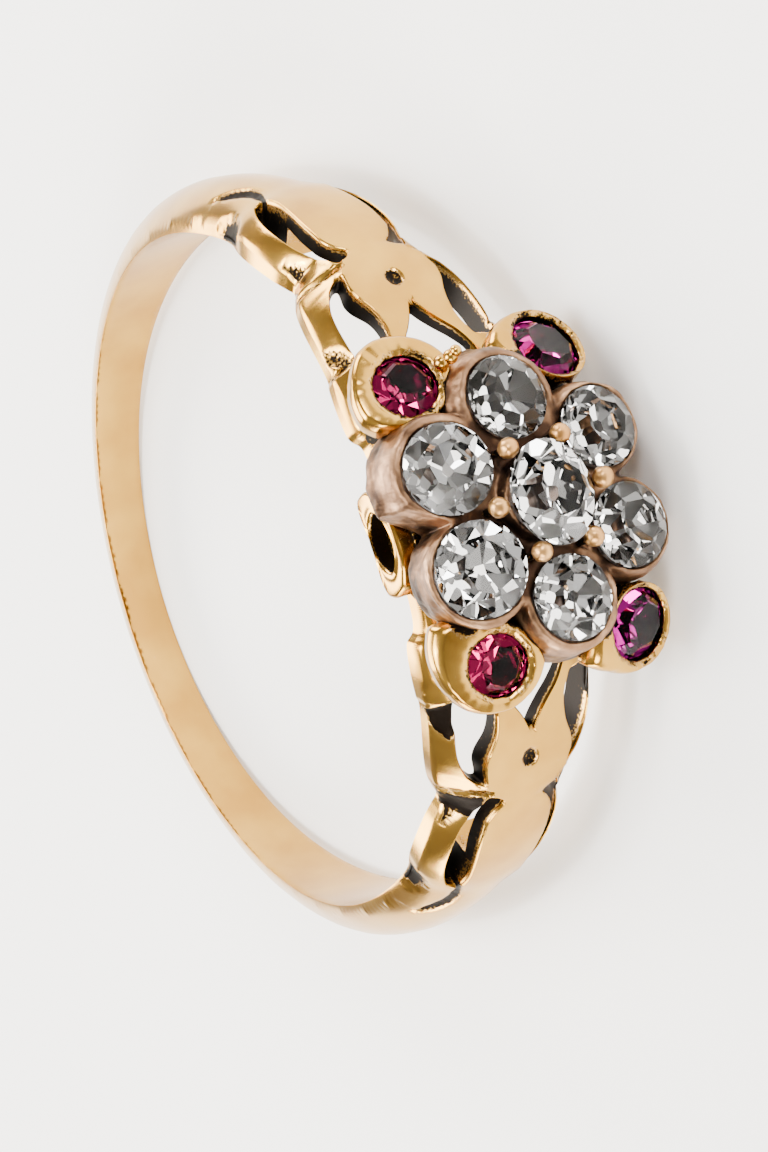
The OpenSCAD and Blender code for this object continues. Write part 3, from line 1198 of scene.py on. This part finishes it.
@dataclass
class Lobes:
    """Seats of the stones, millimetres and degrees in head axes."""

    setting_h: float = 1.6
    gap: float = 0.03
    # Angle, distance, height, length, width, lean, rim and flare of each diamond's seat
    diamonds: Table = (
        (0, 0, 0.63, 2.62, 2.2, 0, 0, 0), (0, 2.507, 0, 2.1, 2.05, 7, 0.18, 0.58),
        (60, 2.507, 0, 2.25, 2.3, 10, 0.2, 0.5), (120, 2.507, 0, 2.4, 2.36, 9, 0.2, 0.14),
        (180, 2.507, 0, 2.1, 2.12, 4, 0.2, 0.4), (240, 2.447, 0, 2.04, 2.1, 4, 0.11, 0.34),
        (300, 2.477, 0, 1.98, 2.04, 5, 0.11, 0.34),
    )
    # Angle, length outwards, width, lean and radius of the waist of each ruby's collet
    rubies: Table = (
        (30, 1.6, 1.58, 20, 1.0), (150, 1.52, 1.54, 20, 0.98),
        (210, 1.62, 1.8, 28, 0.97), (330, 1.62, 1.8, 28, 0.97),
    )
    ruby_r: float = 4.0
    ruby_drop: float = 1.04

    def diamond_seat(self, i: int) -> Matrix:
        """Place of a diamond in head axes."""
        angle, distance, height, _, _, lean, _, _ = self.diamonds[i]
        return seat(angle, distance, height, lean)

    def ruby_seat(self, i: int) -> Matrix:
        """Place of a ruby in head axes."""
        return seat(self.rubies[i][0], self.ruby_r, -self.ruby_drop, self.rubies[i][3])

    def ruby_room(self, i: int) -> float:
        """Radius of the hole for a ruby."""
        return max(self.rubies[i][1], self.rubies[i][2]) / 2 + self.gap

    def lobe(self, i: int, extra: float = 0.0) -> Object:
        """Lobe under one of the outer diamonds.

        Args:
            i: number of the diamond, 1 to 6.
            extra: how much it is grown to clear its neighbours.

        Returns:
            The lobe in head axes.
        """
        _, _, _, length, width, _, rim, flare = self.diamonds[i]
        r = max(length, width) / 2 + extra
        profile = [
            (0, -2.2), (r + flare - 0.6, -2.2), (r + flare - 0.3, -1.62), (r + flare - 0.05, -1.42),
            (r + flare, -1.25), (r + 0.72 * flare + 0.03, -0.9), (r + 0.44 * flare + 0.09, -0.45),
            (r + 0.3 * flare + 0.6 * rim, -0.2), (r + rim, -0.04), (r + 0.06, 0.01), (0, 0.01),
        ]
        obj = turned(f"lobe_{i}", rounded(profile, 0.1), 80)
        obj.data.transform(self.diamond_seat(i))
        combine(obj, [peg("floor", 9, -4, -self.setting_h - extra, 8)], "DIFFERENCE")
        return obj


@dataclass
class ClusterSetting(Piece):
    """Scalloped cup of the cluster, cast in one piece and low between the stones."""

    lobes: Lobes
    voxel: float = 0.04
    # Height and width in millimetres, and shift, of each layer of the casting's grain
    skin: Table = ((0.05, 0.8, 0.0), (0.03, 0.35, 4.0), (0.012, 0.14, 9.0))
    # Corners of the fold on one side of the head
    fold: Table = ((0, 2.5), (-0.9, 4.2), (1.15, 4.2))

    def tools(self) -> list[Object]:
        """Makes the rooms for the stones and the folds at the sides.

        Returns:
            Closed objects to cut from the cup.
        """
        lobes, made = self.lobes, []
        for i, row in enumerate(lobes.diamonds):
            r = max(row[3], row[4]) / 2 + lobes.gap
            profile = [(0, -3), (0.4, -3), (0.4, -1), (r, -0.05), (r, 2), (0, 2)]
            made.append(turned(f"room_{i}", profile, 80))
            made[-1].data.transform(lobes.diamond_seat(i))
        for i in range(len(lobes.rubies)):
            made.append(peg(f"ruby_{i}", lobes.ruby_room(i) + 0.05, -2, 2))
            made[-1].data.transform(lobes.ruby_seat(i))
        faces = [(0, 1, 2), (5, 4, 3), (0, 3, 4, 1), (1, 4, 5, 2), (2, 5, 3, 0)]
        for side in (1, -1):
            corners = [(x, y * side, z) for z in (-3, 1) for x, y in self.fold]
            made.append(new_object("fold", np.array(corners), faces))
            clean(made[-1])
        return made

    def cast(self, body: Object) -> None:
        """Turns the cut solid into one soft skin with the grain of a casting.

        Args:
            body: the solid.
        """
        shell = body.modifiers.new("voxels", "REMESH")
        shell.mode = "VOXEL"
        shell.voxel_size = self.voxel
        soft = body.modifiers.new("soft", "SMOOTH")
        soft.factor = 0.5
        soft.iterations = 10
        bake(body)
        co, normals = mesh_points(body)
        rough = sum(high * grain(co, wide, shift) for high, wide, shift in self.skin)
        body.data.vertices.foreach_set("co", (co + normals * rough[:, None]).ravel())
        thin = body.modifiers.new("thin", "DECIMATE")
        thin.ratio = 0.6
        bake(body)

    def build(self) -> None:
        """Makes the setting and attaches it to the root body."""
        lobes, h = self.lobes, self.lobes.setting_h
        body = turned("cluster_body", rounded([(0, -h), (2.3, -h), (2.3, -0.2), (0, -0.2)], 0.05))
        combine(body, [lobes.lobe(i) for i in range(1, len(lobes.diamonds))], "UNION")
        dish = turned("dish", [(0, -0.12), (2.2, -0.12), (2.75, 0.04), (2.75, 2), (0, 2)])
        combine(body, [dish], "DIFFERENCE")
        collar = turned("collar", rounded([(0, -1), (1.25, -1), (1.0, 0.4), (0, 0.4)], 0.05))
        combine(body, [collar], "UNION")
        combine(body, self.tools(), "DIFFERENCE")
        self.cast(body)
        co, _ = mesh_points(body)
        # Darker low down and towards the middle as painted shade, and in the hollows of the casting skin as
        # tarnish
        low = smoothstep(-0.5, -1.4, co[:, 2])
        middle = smoothstep(2.7, 2.3, np.hypot(co[:, 0], co[:, 1]))
        hollow = np.clip(hollowness(body) / 0.012, -1, 1)
        set_recess(body, 0.3 + 0.3 * low + 0.5 * middle + 0.35 * hollow)
        body.name = body.data.name = "cluster_cup"
        self.dress(body, 60, slot=Slot.CLUSTER_METAL, nodes=["cluster_setting"])


@dataclass
class Collet(Piece):
    """Ruby collet: a cup with a broad, worn rim, drawn out on one side, and a ragged grain edge round
    the stone."""

    lobes: Lobes
    number: int
    top: float = 0.24
    plain_r: float = 1.4
    foot: float = -2.3
    foot_r: float = 0.75
    # Angle round each collet, from outwards on, and radius of its outline
    outlines: tuple[Table, ...] = (
        (
            (22, 1.36), (37, 1.33), (65, 1.38), (81, 1.43), (97, 1.35), (120, 1.12), (180, 1.05),
            (225, 1.12), (256, 1.38), (278, 1.38), (299, 1.37), (319, 1.39), (340, 1.44), (358, 1.44),
        ),
        (
            (17, 1.16), (63, 1.1), (93, 1.18), (111, 1.25), (150, 1.08), (200, 1.1), (235, 1.5),
            (258, 1.85), (273, 1.74), (295, 1.55), (320, 1.38), (351, 1.26),
        ),
        (
            (20, 1.05), (60, 1.03), (87, 1.02), (150, 1.05), (210, 1.1), (245, 1.5), (264, 1.7),
            (286, 1.36), (330, 1.1),
        ),
        (
            (34, 1.04), (60, 1.2), (87, 1.45), (106, 1.62), (125, 1.4), (160, 1.05), (220, 1.04),
            (288, 1.05), (351, 1.08),
        ),
    )
    # Place and radius of the grains of gold that the solder left beside the first collet
    grains: Table = ((3.93, 0.8, -0.24, 0.15), (3.84, 0.88, -0.42, 0.19), (3.78, 1.06, -0.6, 0.2))
    # Centre and radius of a dark patch on each rim, on its side towards the head
    dark_patch: Table = ((-0.9, -0.7, 0.4), (-0.75, -1.15, 0.5), (-0.9, -0.9, 0.5), (-0.9, 0.9, 0.5))

    def outline(self, angle: float) -> float:
        """Radius of the rim at an angle in radians."""
        rows = np.array(self.outlines[self.number])
        return float(np.interp(math.degrees(angle) % 360, rows[:, 0], rows[:, 1], period=360))

    def shape(self, room: float) -> Callable[[float, float, float], tuple[float, float]]:
        """Makes the function that draws the turned cup out to its outline.

        Args:
            room: radius of the hole for the ruby.

        Returns:
            The function, which takes an angle, a radius and a height.
        """
        inner = room + 0.1

        def worn(a: float, radius: float, z: float) -> tuple[float, float]:
            """Drawn-out rim with hand-made unevenness.

            Args:
                a: angle in radians.
                radius: radius of the plain cup.
                z: height of the plain cup.

            Returns:
                The radius and height to use.
            """
            spot = Vector((math.cos(a), math.sin(a), self.number * 3.1))
            wide, fine = noise.noise(spot * 1.4), noise.noise(spot * 6)
            if radius > inner and z > -0.6:
                share = (radius - inner) / (self.plain_r - inner)
                out = inner + share * (self.outline(a) - inner)
                sink = 0.5 * max(self.outline(a) - 1.45, 0) * share**2
                return out + 0.015 * wide * share, z - sink - 0.03 * share + 0.012 * fine
            if z > 0.0 and radius > 0.3:
                return radius + 0.03 * fine, z + 0.02 * wide
            return radius, z

        return worn

    def oxide_and_shade(self, obj: Object, room: float) -> np.ndarray:
        """Where the collet is dark: oxide at the stone's hole and in the grain round it, a dark patch on the
        rim, and painted shade below the cup and near the head's cluster.

        Args:
            obj: the collet in head axes.
            room: radius of the hole for the ruby.

        Returns:
            One value a point.
        """
        co, _ = mesh_points(obj)
        back = self.lobes.ruby_seat(self.number).inverted()
        local = np.array([back @ Vector(p) for p in co])
        out, z = np.hypot(local[:, 0], local[:, 1]), local[:, 2]
        hole = smoothstep(room + 0.04, room, out) * smoothstep(self.top - 0.06, self.top - 0.13, z)
        crumbs = 0.35 + 0.6 * grain(local, 0.3, self.number * 7.0)
        ragged = smoothstep(room + 0.2, room + 0.04, out) * (z > 0) * crumbs
        # Painted shade below the cup and near the head's cluster
        below = 0.75 * smoothstep(-0.45, -0.9, z)
        toward = 0.9 * smoothstep(3.35, 3.0, np.hypot(co[:, 0], co[:, 1]))
        x, y, size = self.dark_patch[self.number]
        patch = np.hypot(local[:, 0] - x, local[:, 1] - y) + 0.1 * grain(local, 0.25)
        spot = 0.85 * smoothstep(size, 0.4 * size, patch)
        return np.maximum.reduce([0.8 * hole, ragged, below, toward, spot])

    def build(self) -> None:
        """Makes the collet and attaches it to the root body."""
        i, top, rim, lobes = self.number, self.top, self.plain_r, self.lobes
        waist = lobes.rubies[i][4]
        r = lobes.ruby_room(i) - 0.015
        profile = [
            (0, self.foot), (self.foot_r, self.foot), (self.foot_r, -1.3), (waist - 0.05, -0.75),
            (rim - 0.04, -0.42), (rim, top - 0.3), (rim - 0.04, top - 0.1), (rim - 0.13, top - 0.01),
            (r + 0.24, top), (r + 0.11, top - 0.01), (r + 0.03, top - 0.05), (r - 0.03, top - 0.1),
            (r, top - 0.2), (r, -0.06), (0.1, -0.06 - 0.8 * r), (0, -0.06 - 0.8 * r),
        ]
        obj = turned(f"collet_{i + 1}", rounded(profile, 0.05), 160, self.shape(r))
        obj.data.transform(lobes.ruby_seat(i))
        combine(obj, [lobes.lobe(k, lobes.gap) for k in range(1, len(lobes.diamonds))], "DIFFERENCE")
        for x, y, z, size in self.grains if i == 0 else ():
            arc = [(size * math.sin(a), -size * math.cos(a)) for a in np.linspace(0, math.pi, 10)]
            lump = turned("lump", arc, 20)
            lump.data.transform(Matrix.Translation((x, y, z)))
            combine(obj, [lump], "UNION")
        combine(obj, [self.placing.bore()], "DIFFERENCE")
        set_recess(obj, self.oxide_and_shade(obj, r))
        self.dress(obj, 40)


@dataclass
class Drum(Piece):
    """Round wall that carries the cluster, painted dark as shade under the cluster and lighter towards its
    foot.
    """

    radius: float = 2.7
    wall: float = 0.5
    foot: float = -3.1
    top: float = -1.63
    seam_z: float = -2.4
    segments: int = 160

    def build(self) -> None:
        """Makes the drum and attaches it to the root body."""
        inner = self.radius - self.wall
        seam = (inner, self.seam_z)
        corners = [(inner, self.foot), (self.radius, self.foot), (self.radius, self.top), (inner, self.top)]
        section = rounded([seam, *corners, seam], 0.06)[:-1]
        turns = [2 * math.pi * k / self.segments for k in range(self.segments)]
        obj = tube("drum", [[(r * math.cos(a), r * math.sin(a), z) for r, z in section] for a in turns])
        combine(obj, [self.placing.bore()], "DIFFERENCE")
        co, _ = mesh_points(obj)
        # Painted shade: dark under the cluster, lighter towards the foot
        set_recess(obj, 0.75 - 0.6 * smoothstep(-2.6, -3.0, co[:, 2]))
        self.dress(obj, 40)


@dataclass
class SideScroll(Piece):
    """Open scroll between the head and one side of the hoop, with a curled rim round its hole."""

    side: int
    centre_z: float = -2.42
    # Shift, length and height of the hole
    hole: tuple[float, float, float] = (0.16, 1.5, 0.94)
    near: float = 2.1
    # How far the scroll reaches on the first and on the second side
    reach: tuple[float, float] = (3.16, 3.0)
    outline: Table = (
        (1.5, -0.18), (1.36, -0.61), (0.86, -0.6), (0.46, -0.5), (-0.1, -0.52), (-0.62, -0.6),
        (-1.08, -0.55), (-1.2, -0.2), (-1.05, 0.32), (-0.5, 0.67), (0.7, 0.7), (1.3, 0.32),
    )
    # Share of the way out from the hole, distance back from the front, and darkness of each ring: a little
    # oxide on the front, and painted shade inside the hole
    section: Table = (
        (1.0, 0.12, 0.1), (0.94, 0.05, 0), (0.84, 0.02, 0), (0.5, 0.05, 0.1), (0.3, 0.03, 0),
        (0.16, 0.0, 0), (0.05, 0.03, 0.2), (0.0, 0.1, 0.9), (0.05, 0.3, 1.0),
    )

    @staticmethod
    def almond(length: float, height: float, count: int) -> np.ndarray:
        """Outline of an almond, made of two arcs.

        Args:
            length: its length.
            height: its height.
            count: points of each arc.

        Returns:
            The points.
        """
        r = (length**2 + height**2) / (4 * height)
        half = math.asin(min(length / 2 / r, 1))
        a = np.linspace(-half, half, count, endpoint=False)
        arc = np.c_[r * np.sin(a), r * np.cos(a) - r + height / 2]
        return np.vstack([arc, -arc])

    def loops(self, count: int) -> tuple[np.ndarray, np.ndarray]:
        """Outer and inner edge of the scroll, matched by direction.

        Args:
            count: points of each.

        Returns:
            The two loops, x and height from the scroll's centre.
        """
        shift, length, height = self.hole
        ring = np.array([*self.outline, self.outline[0]])
        outer = softened(resample(ring, 0.06)[:-1], 6) - (shift, 0)
        inner = softened(self.almond(length, height, 40), 3)
        at = np.linspace(-math.pi, math.pi, count, endpoint=False)
        made = []
        for loop in (outer, inner):
            turn = np.arctan2(loop[:, 1] / 0.6, loop[:, 0])
            order = np.argsort(turn)
            x, y = (np.interp(at, turn[order], loop[order, k], period=2 * math.pi) for k in (0, 1))
            made.append(np.c_[x + shift, y])
        return made[0], made[1]

    def build(self) -> None:
        """Makes the scroll and attaches it to the root body."""
        first = self.side > 0
        outer, inner = self.loops(120)
        far = self.reach[0 if first else 1]
        front = [(share, far - back, dark) for share, back, dark in self.section]
        # Rings of the back, painted dark as shade
        rows = [(1.0, self.near, 0.5), *front, (0.0, self.near, 1.0)]
        rings = [
            [(x, self.side * y, z + self.centre_z) for x, z in inner + (outer - inner) * share]
            for share, y, _ in rows
        ]
        obj = tube("side_scroll_1" if first else "side_scroll_2", rings)
        set_recess(obj, np.repeat([dark for _, _, dark in rows], len(outer)))
        self.dress(obj, 50)


@dataclass
class BeadClaws(Piece):
    """Six round beads on stalks between the diamonds, grown by one node tree."""

    count: int = 6
    ring_r: float = 1.49
    height: float = 0.56
    bead_d: float = 0.54
    stalk_r: float = 0.1045
    stalk_foot: float = -0.7

    def tree(self) -> Tree:
        """Node tree that sets the beads in a ring.

        Returns:
            The tree.
        """
        tree = bpy.data.node_groups.new("bead_claws", "GeometryNodeTree")
        face = tree.interface
        face.new_socket("Count", in_out="INPUT", socket_type="NodeSocketInt")
        for name in ("Ring Radius", "Bead Diameter", "Bead Height", "Stalk Radius", "Stalk Foot"):
            face.new_socket(name, in_out="INPUT", socket_type="NodeSocketFloat")
        face.new_socket("Geometry", in_out="OUTPUT", socket_type="NodeSocketGeometry")
        given = add_node(tree, "NodeGroupInput").outputs
        height, foot = given["Bead Height"], given["Stalk Foot"]

        def step(kind: str, geometry: Socket, **inputs: object) -> Socket:
            """Adds a node that takes a geometry, and gives what it makes of it."""
            return add_node(tree, f"GeometryNode{kind}", {"Geometry": geometry, **inputs}).outputs[0]

        radius = maths(tree, "MULTIPLY", given["Bead Diameter"], 0.5)
        ball = add_node(tree, "GeometryNodeMeshUVSphere", {"Segments": 40, "Rings": 24, "Radius": radius})
        length = maths(tree, "SUBTRACT", height, foot)
        shaft = {"Vertices": 24, "Side Segments": 6, "Radius": given["Stalk Radius"], "Depth": length}
        rod = add_node(tree, "GeometryNodeMeshCylinder", shaft)
        claw = add_node(tree, "GeometryNodeJoinGeometry")
        for shape, level in ((ball, height), (rod, maths(tree, "MULTIPLY_ADD", length, 0.5, foot))):
            lift = add_node(tree, "ShaderNodeCombineXYZ", {"Z": level}).outputs[0]
            tree.links.new(step("Transform", shape.outputs["Mesh"], Translation=lift), claw.inputs[0])
        ring = {"Vertices": given["Count"], "Radius": given["Ring Radius"]}
        circle = add_node(tree, "GeometryNodeMeshCircle", ring).outputs[0]
        sizes = {"Min": (0.93, 0.93, 0.98), "Max": (1, 1, 1), "Seed": 5}
        turns = {"Min": (0, 0, 0), "Max": (0, 0, 6.28), "Seed": 8}
        size, spin = (
            add_node(tree, "FunctionNodeRandomValue", limits, data_type="FLOAT_VECTOR").outputs[0]
            for limits in (sizes, turns)
        )
        places = {
            "Points": step("Transform", circle, Rotation=(0, 0, math.pi / self.count)),
            "Instance": claw.outputs[0],
            "Rotation": spin,
            "Scale": size,
        }
        placed = add_node(tree, "GeometryNodeInstanceOnPoints", places).outputs[0]
        wear = add_node(tree, "ShaderNodeTexNoise", {"Scale": 4.0, "Detail": 2.0}).outputs["Color"]
        dent = add_node(tree, "ShaderNodeVectorMath", {0: wear, 1: (-0.5, -0.5, -0.5)}, operation="ADD")
        small = add_node(
            tree, "ShaderNodeVectorMath", {0: dent.outputs[0], "Scale": 0.05}, operation="SCALE"
        )
        worn = step("SetPosition", step("RealizeInstances", placed), Offset=small.outputs[0])
        dressed = step("SetMaterial", worn, Material=self.material)
        add_node(tree, "NodeGroupOutput", {"Geometry": dressed})
        return tree

    def build(self) -> None:
        """Makes the beads and attaches them to the root body."""
        obj = new_object("bead_claws", np.zeros((0, 3)), [])
        step = obj.modifiers.new("beads", "NODES")
        step.node_group = self.tree()
        sizes = {
            "Count": self.count, "Ring Radius": self.ring_r, "Bead Diameter": self.bead_d,
            "Bead Height": self.height, "Stalk Radius": self.stalk_r, "Stalk Foot": self.stalk_foot,
        }
        for item in step.node_group.interface.items_tree:
            if item.in_out == "INPUT":
                step[item.identifier] = sizes[item.name]
        bake(obj)
        clean(obj, 1e-5)
        co, _ = mesh_points(obj)
        # Painted shade: the stalks are darkened under the beads
        set_recess(obj, 0.7 * smoothstep(self.height - 0.16, self.height - 0.26, co[:, 2]))
        self.dress(obj, 60, nodes=[f"bead_claw_{i + 1}" for i in range(self.count)])


@dataclass
class OldCut(Piece):
    """Stone cut by hand: small table, uneven mains, short girdle facets and a broad culet."""

    name: str
    slot: Slot
    place: Matrix
    length: float
    width: float
    seed: int
    crown: float = 0.22
    pavilion: float = 0.4
    table_r: float = 0.25
    culet_r: float = 0.07
    girdle: float = 0.014
    mains: int = 8
    # Radians by which the stars are flatter, and the halves over and under the girdle steeper,
    # than the mains, and the degrees by which a facet is off
    star_tilt: float = 0.28
    upper_tilt: float = 0.16
    lower_tilt: float = 0.12
    turn_off: float = 3.0
    tilt_off: float = 1.6
    # Share of the back's facets that are painted dark as reflections
    dark_reflection_share: float = 0.2

    def cuts(self) -> list[tuple[Vector, float]]:
        """Facet planes of the stone, with its diameter as 1.

        Returns:
            For each facet its outward direction and its distance from the centre.
        """
        chance = np.random.default_rng(self.seed)

        def slant(turn: float, tilt: float, reach: float, lift: float) -> tuple[Vector, float]:
            """Plane at a turn and a tilt through a point at a reach and a lift.

            Args:
                turn: degrees round the stone.
                tilt: radians from upright.
                reach: way of the point from the axis.
                lift: height of the point.

            Returns:
                Outward direction, and distance from the centre.
            """
            turn = math.radians(turn + chance.uniform(-self.turn_off, self.turn_off))
            tilt = tilt + math.radians(chance.uniform(-self.tilt_off, self.tilt_off))
            way = Vector((math.sin(tilt) * math.cos(turn), math.sin(tilt) * math.sin(turn), math.cos(tilt)))
            return way, math.sin(tilt) * reach + math.cos(tilt) * lift

        made = [(Vector((0, 0, 1)), self.crown), (Vector((0, 0, -1)), self.pavilion)]
        step = 360 / self.mains
        top = math.atan((self.crown - self.girdle) / (0.5 - self.table_r))
        low = math.pi - math.atan((self.pavilion - self.girdle) / (0.5 - self.culet_r))
        start = chance.uniform(0, step)
        for k in range(self.mains):
            turn = start + k * step
            made.append(slant(turn, top, 0.5, self.girdle))
            made.append(slant(turn + step / 2, top - self.star_tilt, self.table_r + 0.03, self.crown))
            made.append(slant(turn + step / 2, low, 0.5, -self.girdle))
            for side in (-0.25, 0.25):
                made.append(slant(turn + side * step, top + self.upper_tilt, 0.497, self.girdle))
                made.append(slant(turn + side * step, low - self.lower_tilt, 0.497, -self.girdle))
        return made

    def mark_dark_reflections(self, mesh: bpy.types.Mesh) -> None:
        """Marks the back's facets that are painted dark as reflections, all triangles of a facet alike.

        Args:
            mesh: the stone's mesh, with its diameter as 1.
        """
        chance = np.random.default_rng(self.seed + 100)
        known: dict[tuple[float, ...], float] = {}
        values = []
        for face in mesh.polygons:
            way = tuple(round(c, 1) for c in face.normal)
            if way not in known:
                known[way] = float(chance.uniform() < self.dark_reflection_share) * chance.uniform(0.75, 1.0)
            values.append(known[way] if face.normal.z < -0.2 else 0.0)
        mesh.attributes.new("dark_reflection", "FLOAT", "FACE").data.foreach_set("value", values)

    def build(self) -> None:
        """Cuts the stone and attaches it to the root body."""
        work = bmesh.new()
        bmesh.ops.create_cone(work, cap_ends=True, segments=32, radius1=0.5, radius2=0.5, depth=1.2)
        for way, distance in self.cuts():
            every = [*work.verts, *work.edges, *work.faces]
            bmesh.ops.bisect_plane(work, geom=every, plane_co=way * distance, plane_no=way, clear_outer=True)
            rim = [e for e in work.edges if e.is_boundary]
            if rim:
                bmesh.ops.contextual_create(work, geom=rim)
        bmesh.ops.remove_doubles(work, verts=work.verts, dist=0.002)
        bmesh.ops.dissolve_limit(work, angle_limit=0.004, verts=work.verts, edges=work.edges)
        bmesh.ops.triangulate(work, faces=[f for f in work.faces if len(f.verts) > 4])
        bmesh.ops.recalc_face_normals(work, faces=work.faces)
        mesh = bpy.data.meshes.new(self.name)
        work.to_mesh(mesh)
        work.free()
        self.mark_dark_reflections(mesh)
        size = max(self.length, self.width)
        mesh.transform(Matrix.Diagonal((self.length, self.width, size, 1)))
        obj = linked(f"cut_{self.name}", mesh)
        self.dress(obj, None, self.placing.head() @ self.place, self.slot, [self.name])


@dataclass
class Stones:
    """Seven diamonds and four rubies, each cut by itself."""

    diamond: Material
    rubies: Sequence[Material]
    placing: Placing
    lobes: Lobes

    def build(self) -> None:
        """Cuts every stone."""
        lobes = self.lobes
        for i, row in enumerate(lobes.diamonds):
            place = lobes.diamond_seat(i)
            OldCut(
                self.diamond, self.placing, f"diamond_{i + 1}", Slot.DIAMOND, place, row[3], row[4], 11 + i
            ).build()
        for i, row in enumerate(lobes.rubies):
            # Rubies have fewer back facets painted dark as reflections
            OldCut(
                self.rubies[i], self.placing, f"ruby_{i + 1}", Slot.RUBY, lobes.ruby_seat(i), row[1], row[2],
                31 + i, crown=0.17, pavilion=0.36, table_r=0.3, culet_r=0.04, dark_reflection_share=0.08,
            ).build()


# ---- the studio


@dataclass
class Studio:
    """Camera at the photograph's angle, soft lights and a pale floor. Lengths in millimetres."""

    floor_z: float
    eye: tuple[float, float, float] = (4.643, -245.453, 193.4)
    right: tuple[float, float, float] = (-0.27286, -0.60342, -0.74929)
    up: tuple[float, float, float] = (0.96189, -0.15657, -0.22419)
    lens: float = 398.02
    sensor: float = 36.0
    floor_size: float = 3000.0
    sky_strength: float = 0.95
    # Soft spot over the ring: place, degrees, watts and radius
    pool_place: Row = (40, 30, 400)
    pool_angle: float = 7.5
    pool_watts: float = 10.0
    pool_r: float = 40.0
    # Name, place, width and height, watts and colour of each softbox; all of them face the ring
    boxes: tuple[tuple[str, Row, Row, float, str], ...] = (
        ("overhead", (60, 60, 420), (260, 260), 4.0, "#FFFDF9"),
        ("back", (80, 340, 190), (300, 160), 3.5, "#FFFAF2"),
        ("side", (-330, -180, 240), (150, 220), 2.5, "#FFFAF2"),
        ("upper", (340, 110, 90), (200, 130), 2.0, "#FFFAF2"),
        ("lower", (-330, 150, 80), (200, 130), 2.0, "#FFFAF2"),
        ("front", (260, -320, 180), (90, 160), 1.5, "#FFFFFF"),
    )
    # Height in the sky, 0 to 1, and its colour
    tones: tuple[tuple[float, str], ...] = (
        (0.0, "#ECEAE6"), (0.3, "#E2DED8"), (0.55, "#9A9792"), (1.0, "#E2E0DD"),
    )

    def camera(self) -> None:
        """Sets the camera as the photograph's was."""
        x, y = Vector(self.right), Vector(self.up)
        z = x.cross(y).normalized()
        y = z.cross(x).normalized()
        data = bpy.data.cameras.new("camera")
        data.lens = self.lens
        data.sensor_width = self.sensor
        data.clip_start, data.clip_end = 0.01, 20
        data.dof.use_dof = False
        obj = linked("camera", data)
        turn = Matrix((x, y, z)).transposed().to_4x4()
        obj.matrix_world = Matrix.Translation(Vector(self.eye) * MM) @ turn
        bpy.context.scene.camera = obj

    def floor(self, material: Material) -> None:
        """Lays the floor under the ring.

        Args:
            material: the floor's finish.
        """
        s = self.floor_size / 2
        obj = new_object("floor", np.array([(-s, -s, 0), (s, -s, 0), (s, s, 0), (-s, s, 0)]), [range(4)])
        obj.data.transform(Matrix.Translation((0, 0, self.floor_z * MM)) @ Matrix.Scale(MM, 4))
        obj.data.materials.append(material)
        obj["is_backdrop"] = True

    def lamp(self, name: str, kind: str, place: Row, power: float) -> bpy.types.Light:
        """Adds a light that faces the ring.

        Args:
            name: name of the light.
            kind: AREA or SPOT.
            place: position in millimetres.
            power: watts.

        Returns:
            The light's data.
        """
        data = bpy.data.lights.new(name, kind)
        data.energy = power
        where = Vector(place)
        turn = (-where).to_track_quat("-Z", "Y").to_matrix().to_4x4()
        linked(name, data).matrix_world = Matrix.Translation(where * MM) @ turn
        return data

    def sky(self) -> None:
        """Even pale surroundings, dimmer halfway up."""
        world = bpy.data.worlds.new("studio")
        world.use_nodes = True
        tree = world.node_tree
        where = add_node(tree, "ShaderNodeTexCoord").outputs["Generated"]
        height = add_node(tree, "ShaderNodeSeparateXYZ", {0: where}).outputs["Z"]
        look = {"Color": ramp(tree, height, self.tones), "Strength": self.sky_strength}
        feed(tree.nodes["Background"], look)
        bpy.context.scene.world = world

    def light(self) -> None:
        """Sets the sky, a soft spot that brightens the floor round the ring, and the softboxes."""
        self.sky()
        pool = self.lamp("pool", "SPOT", self.pool_place, self.pool_watts)
        pool.spot_size = math.radians(self.pool_angle)
        pool.spot_blend = 0.6
        pool.shadow_soft_size = self.pool_r * MM
        for name, place, size, power, colour in self.boxes:
            box = self.lamp(name, "AREA", place, power)
            box.shape = "RECTANGLE"
            box.size, box.size_y = size[0] * MM, size[1] * MM
            box.color = srgb(colour)[:3]


def main() -> None:
    """Builds and dresses the ring."""
    logging.basicConfig(level=logging.INFO, format="%(message)s")
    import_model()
    cad_low, cad_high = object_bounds()
    placing, lobes = Placing(), Lobes()
    gold = RubbedGold().material()
    Band(gold, placing).build()
    Drum(gold, placing).build()
    for side in (1, -1):
        SideScroll(gold, placing, side).build()
    for i in range(len(lobes.rubies)):
        Collet(gold, placing, lobes, i).build()
    ClusterSetting(TarnishedAlloy().material(), placing, lobes).build()
    bead_gold = RubbedGold("rubbed_bead_gold", "#D3A468", "#B98348", roughness=0.36, bump=0.2)
    BeadClaws(bead_gold.material(), placing).build()
    diamond = CutStone("cut_diamond", "#FFFFFF", 2.42).material()
    tones = ("#9C1550", "#A81A50", "#B0138A", "#C9128F")
    # The rubies' back facets are painted dark as reflections in a dark red
    rubies = [
        CutStone(f"cut_ruby_{i + 1}", tone, 1.77, dark_reflection="#6E1640").material()
        for i, tone in enumerate(tones)
    ]
    Stones(diamond, rubies, placing, lobes).build()
    studio = Studio(floor_z=cad_low.z / MM)
    studio.floor(PalePaper().material())
    studio.light()
    studio.camera()


if __name__ == "__main__":
    main()
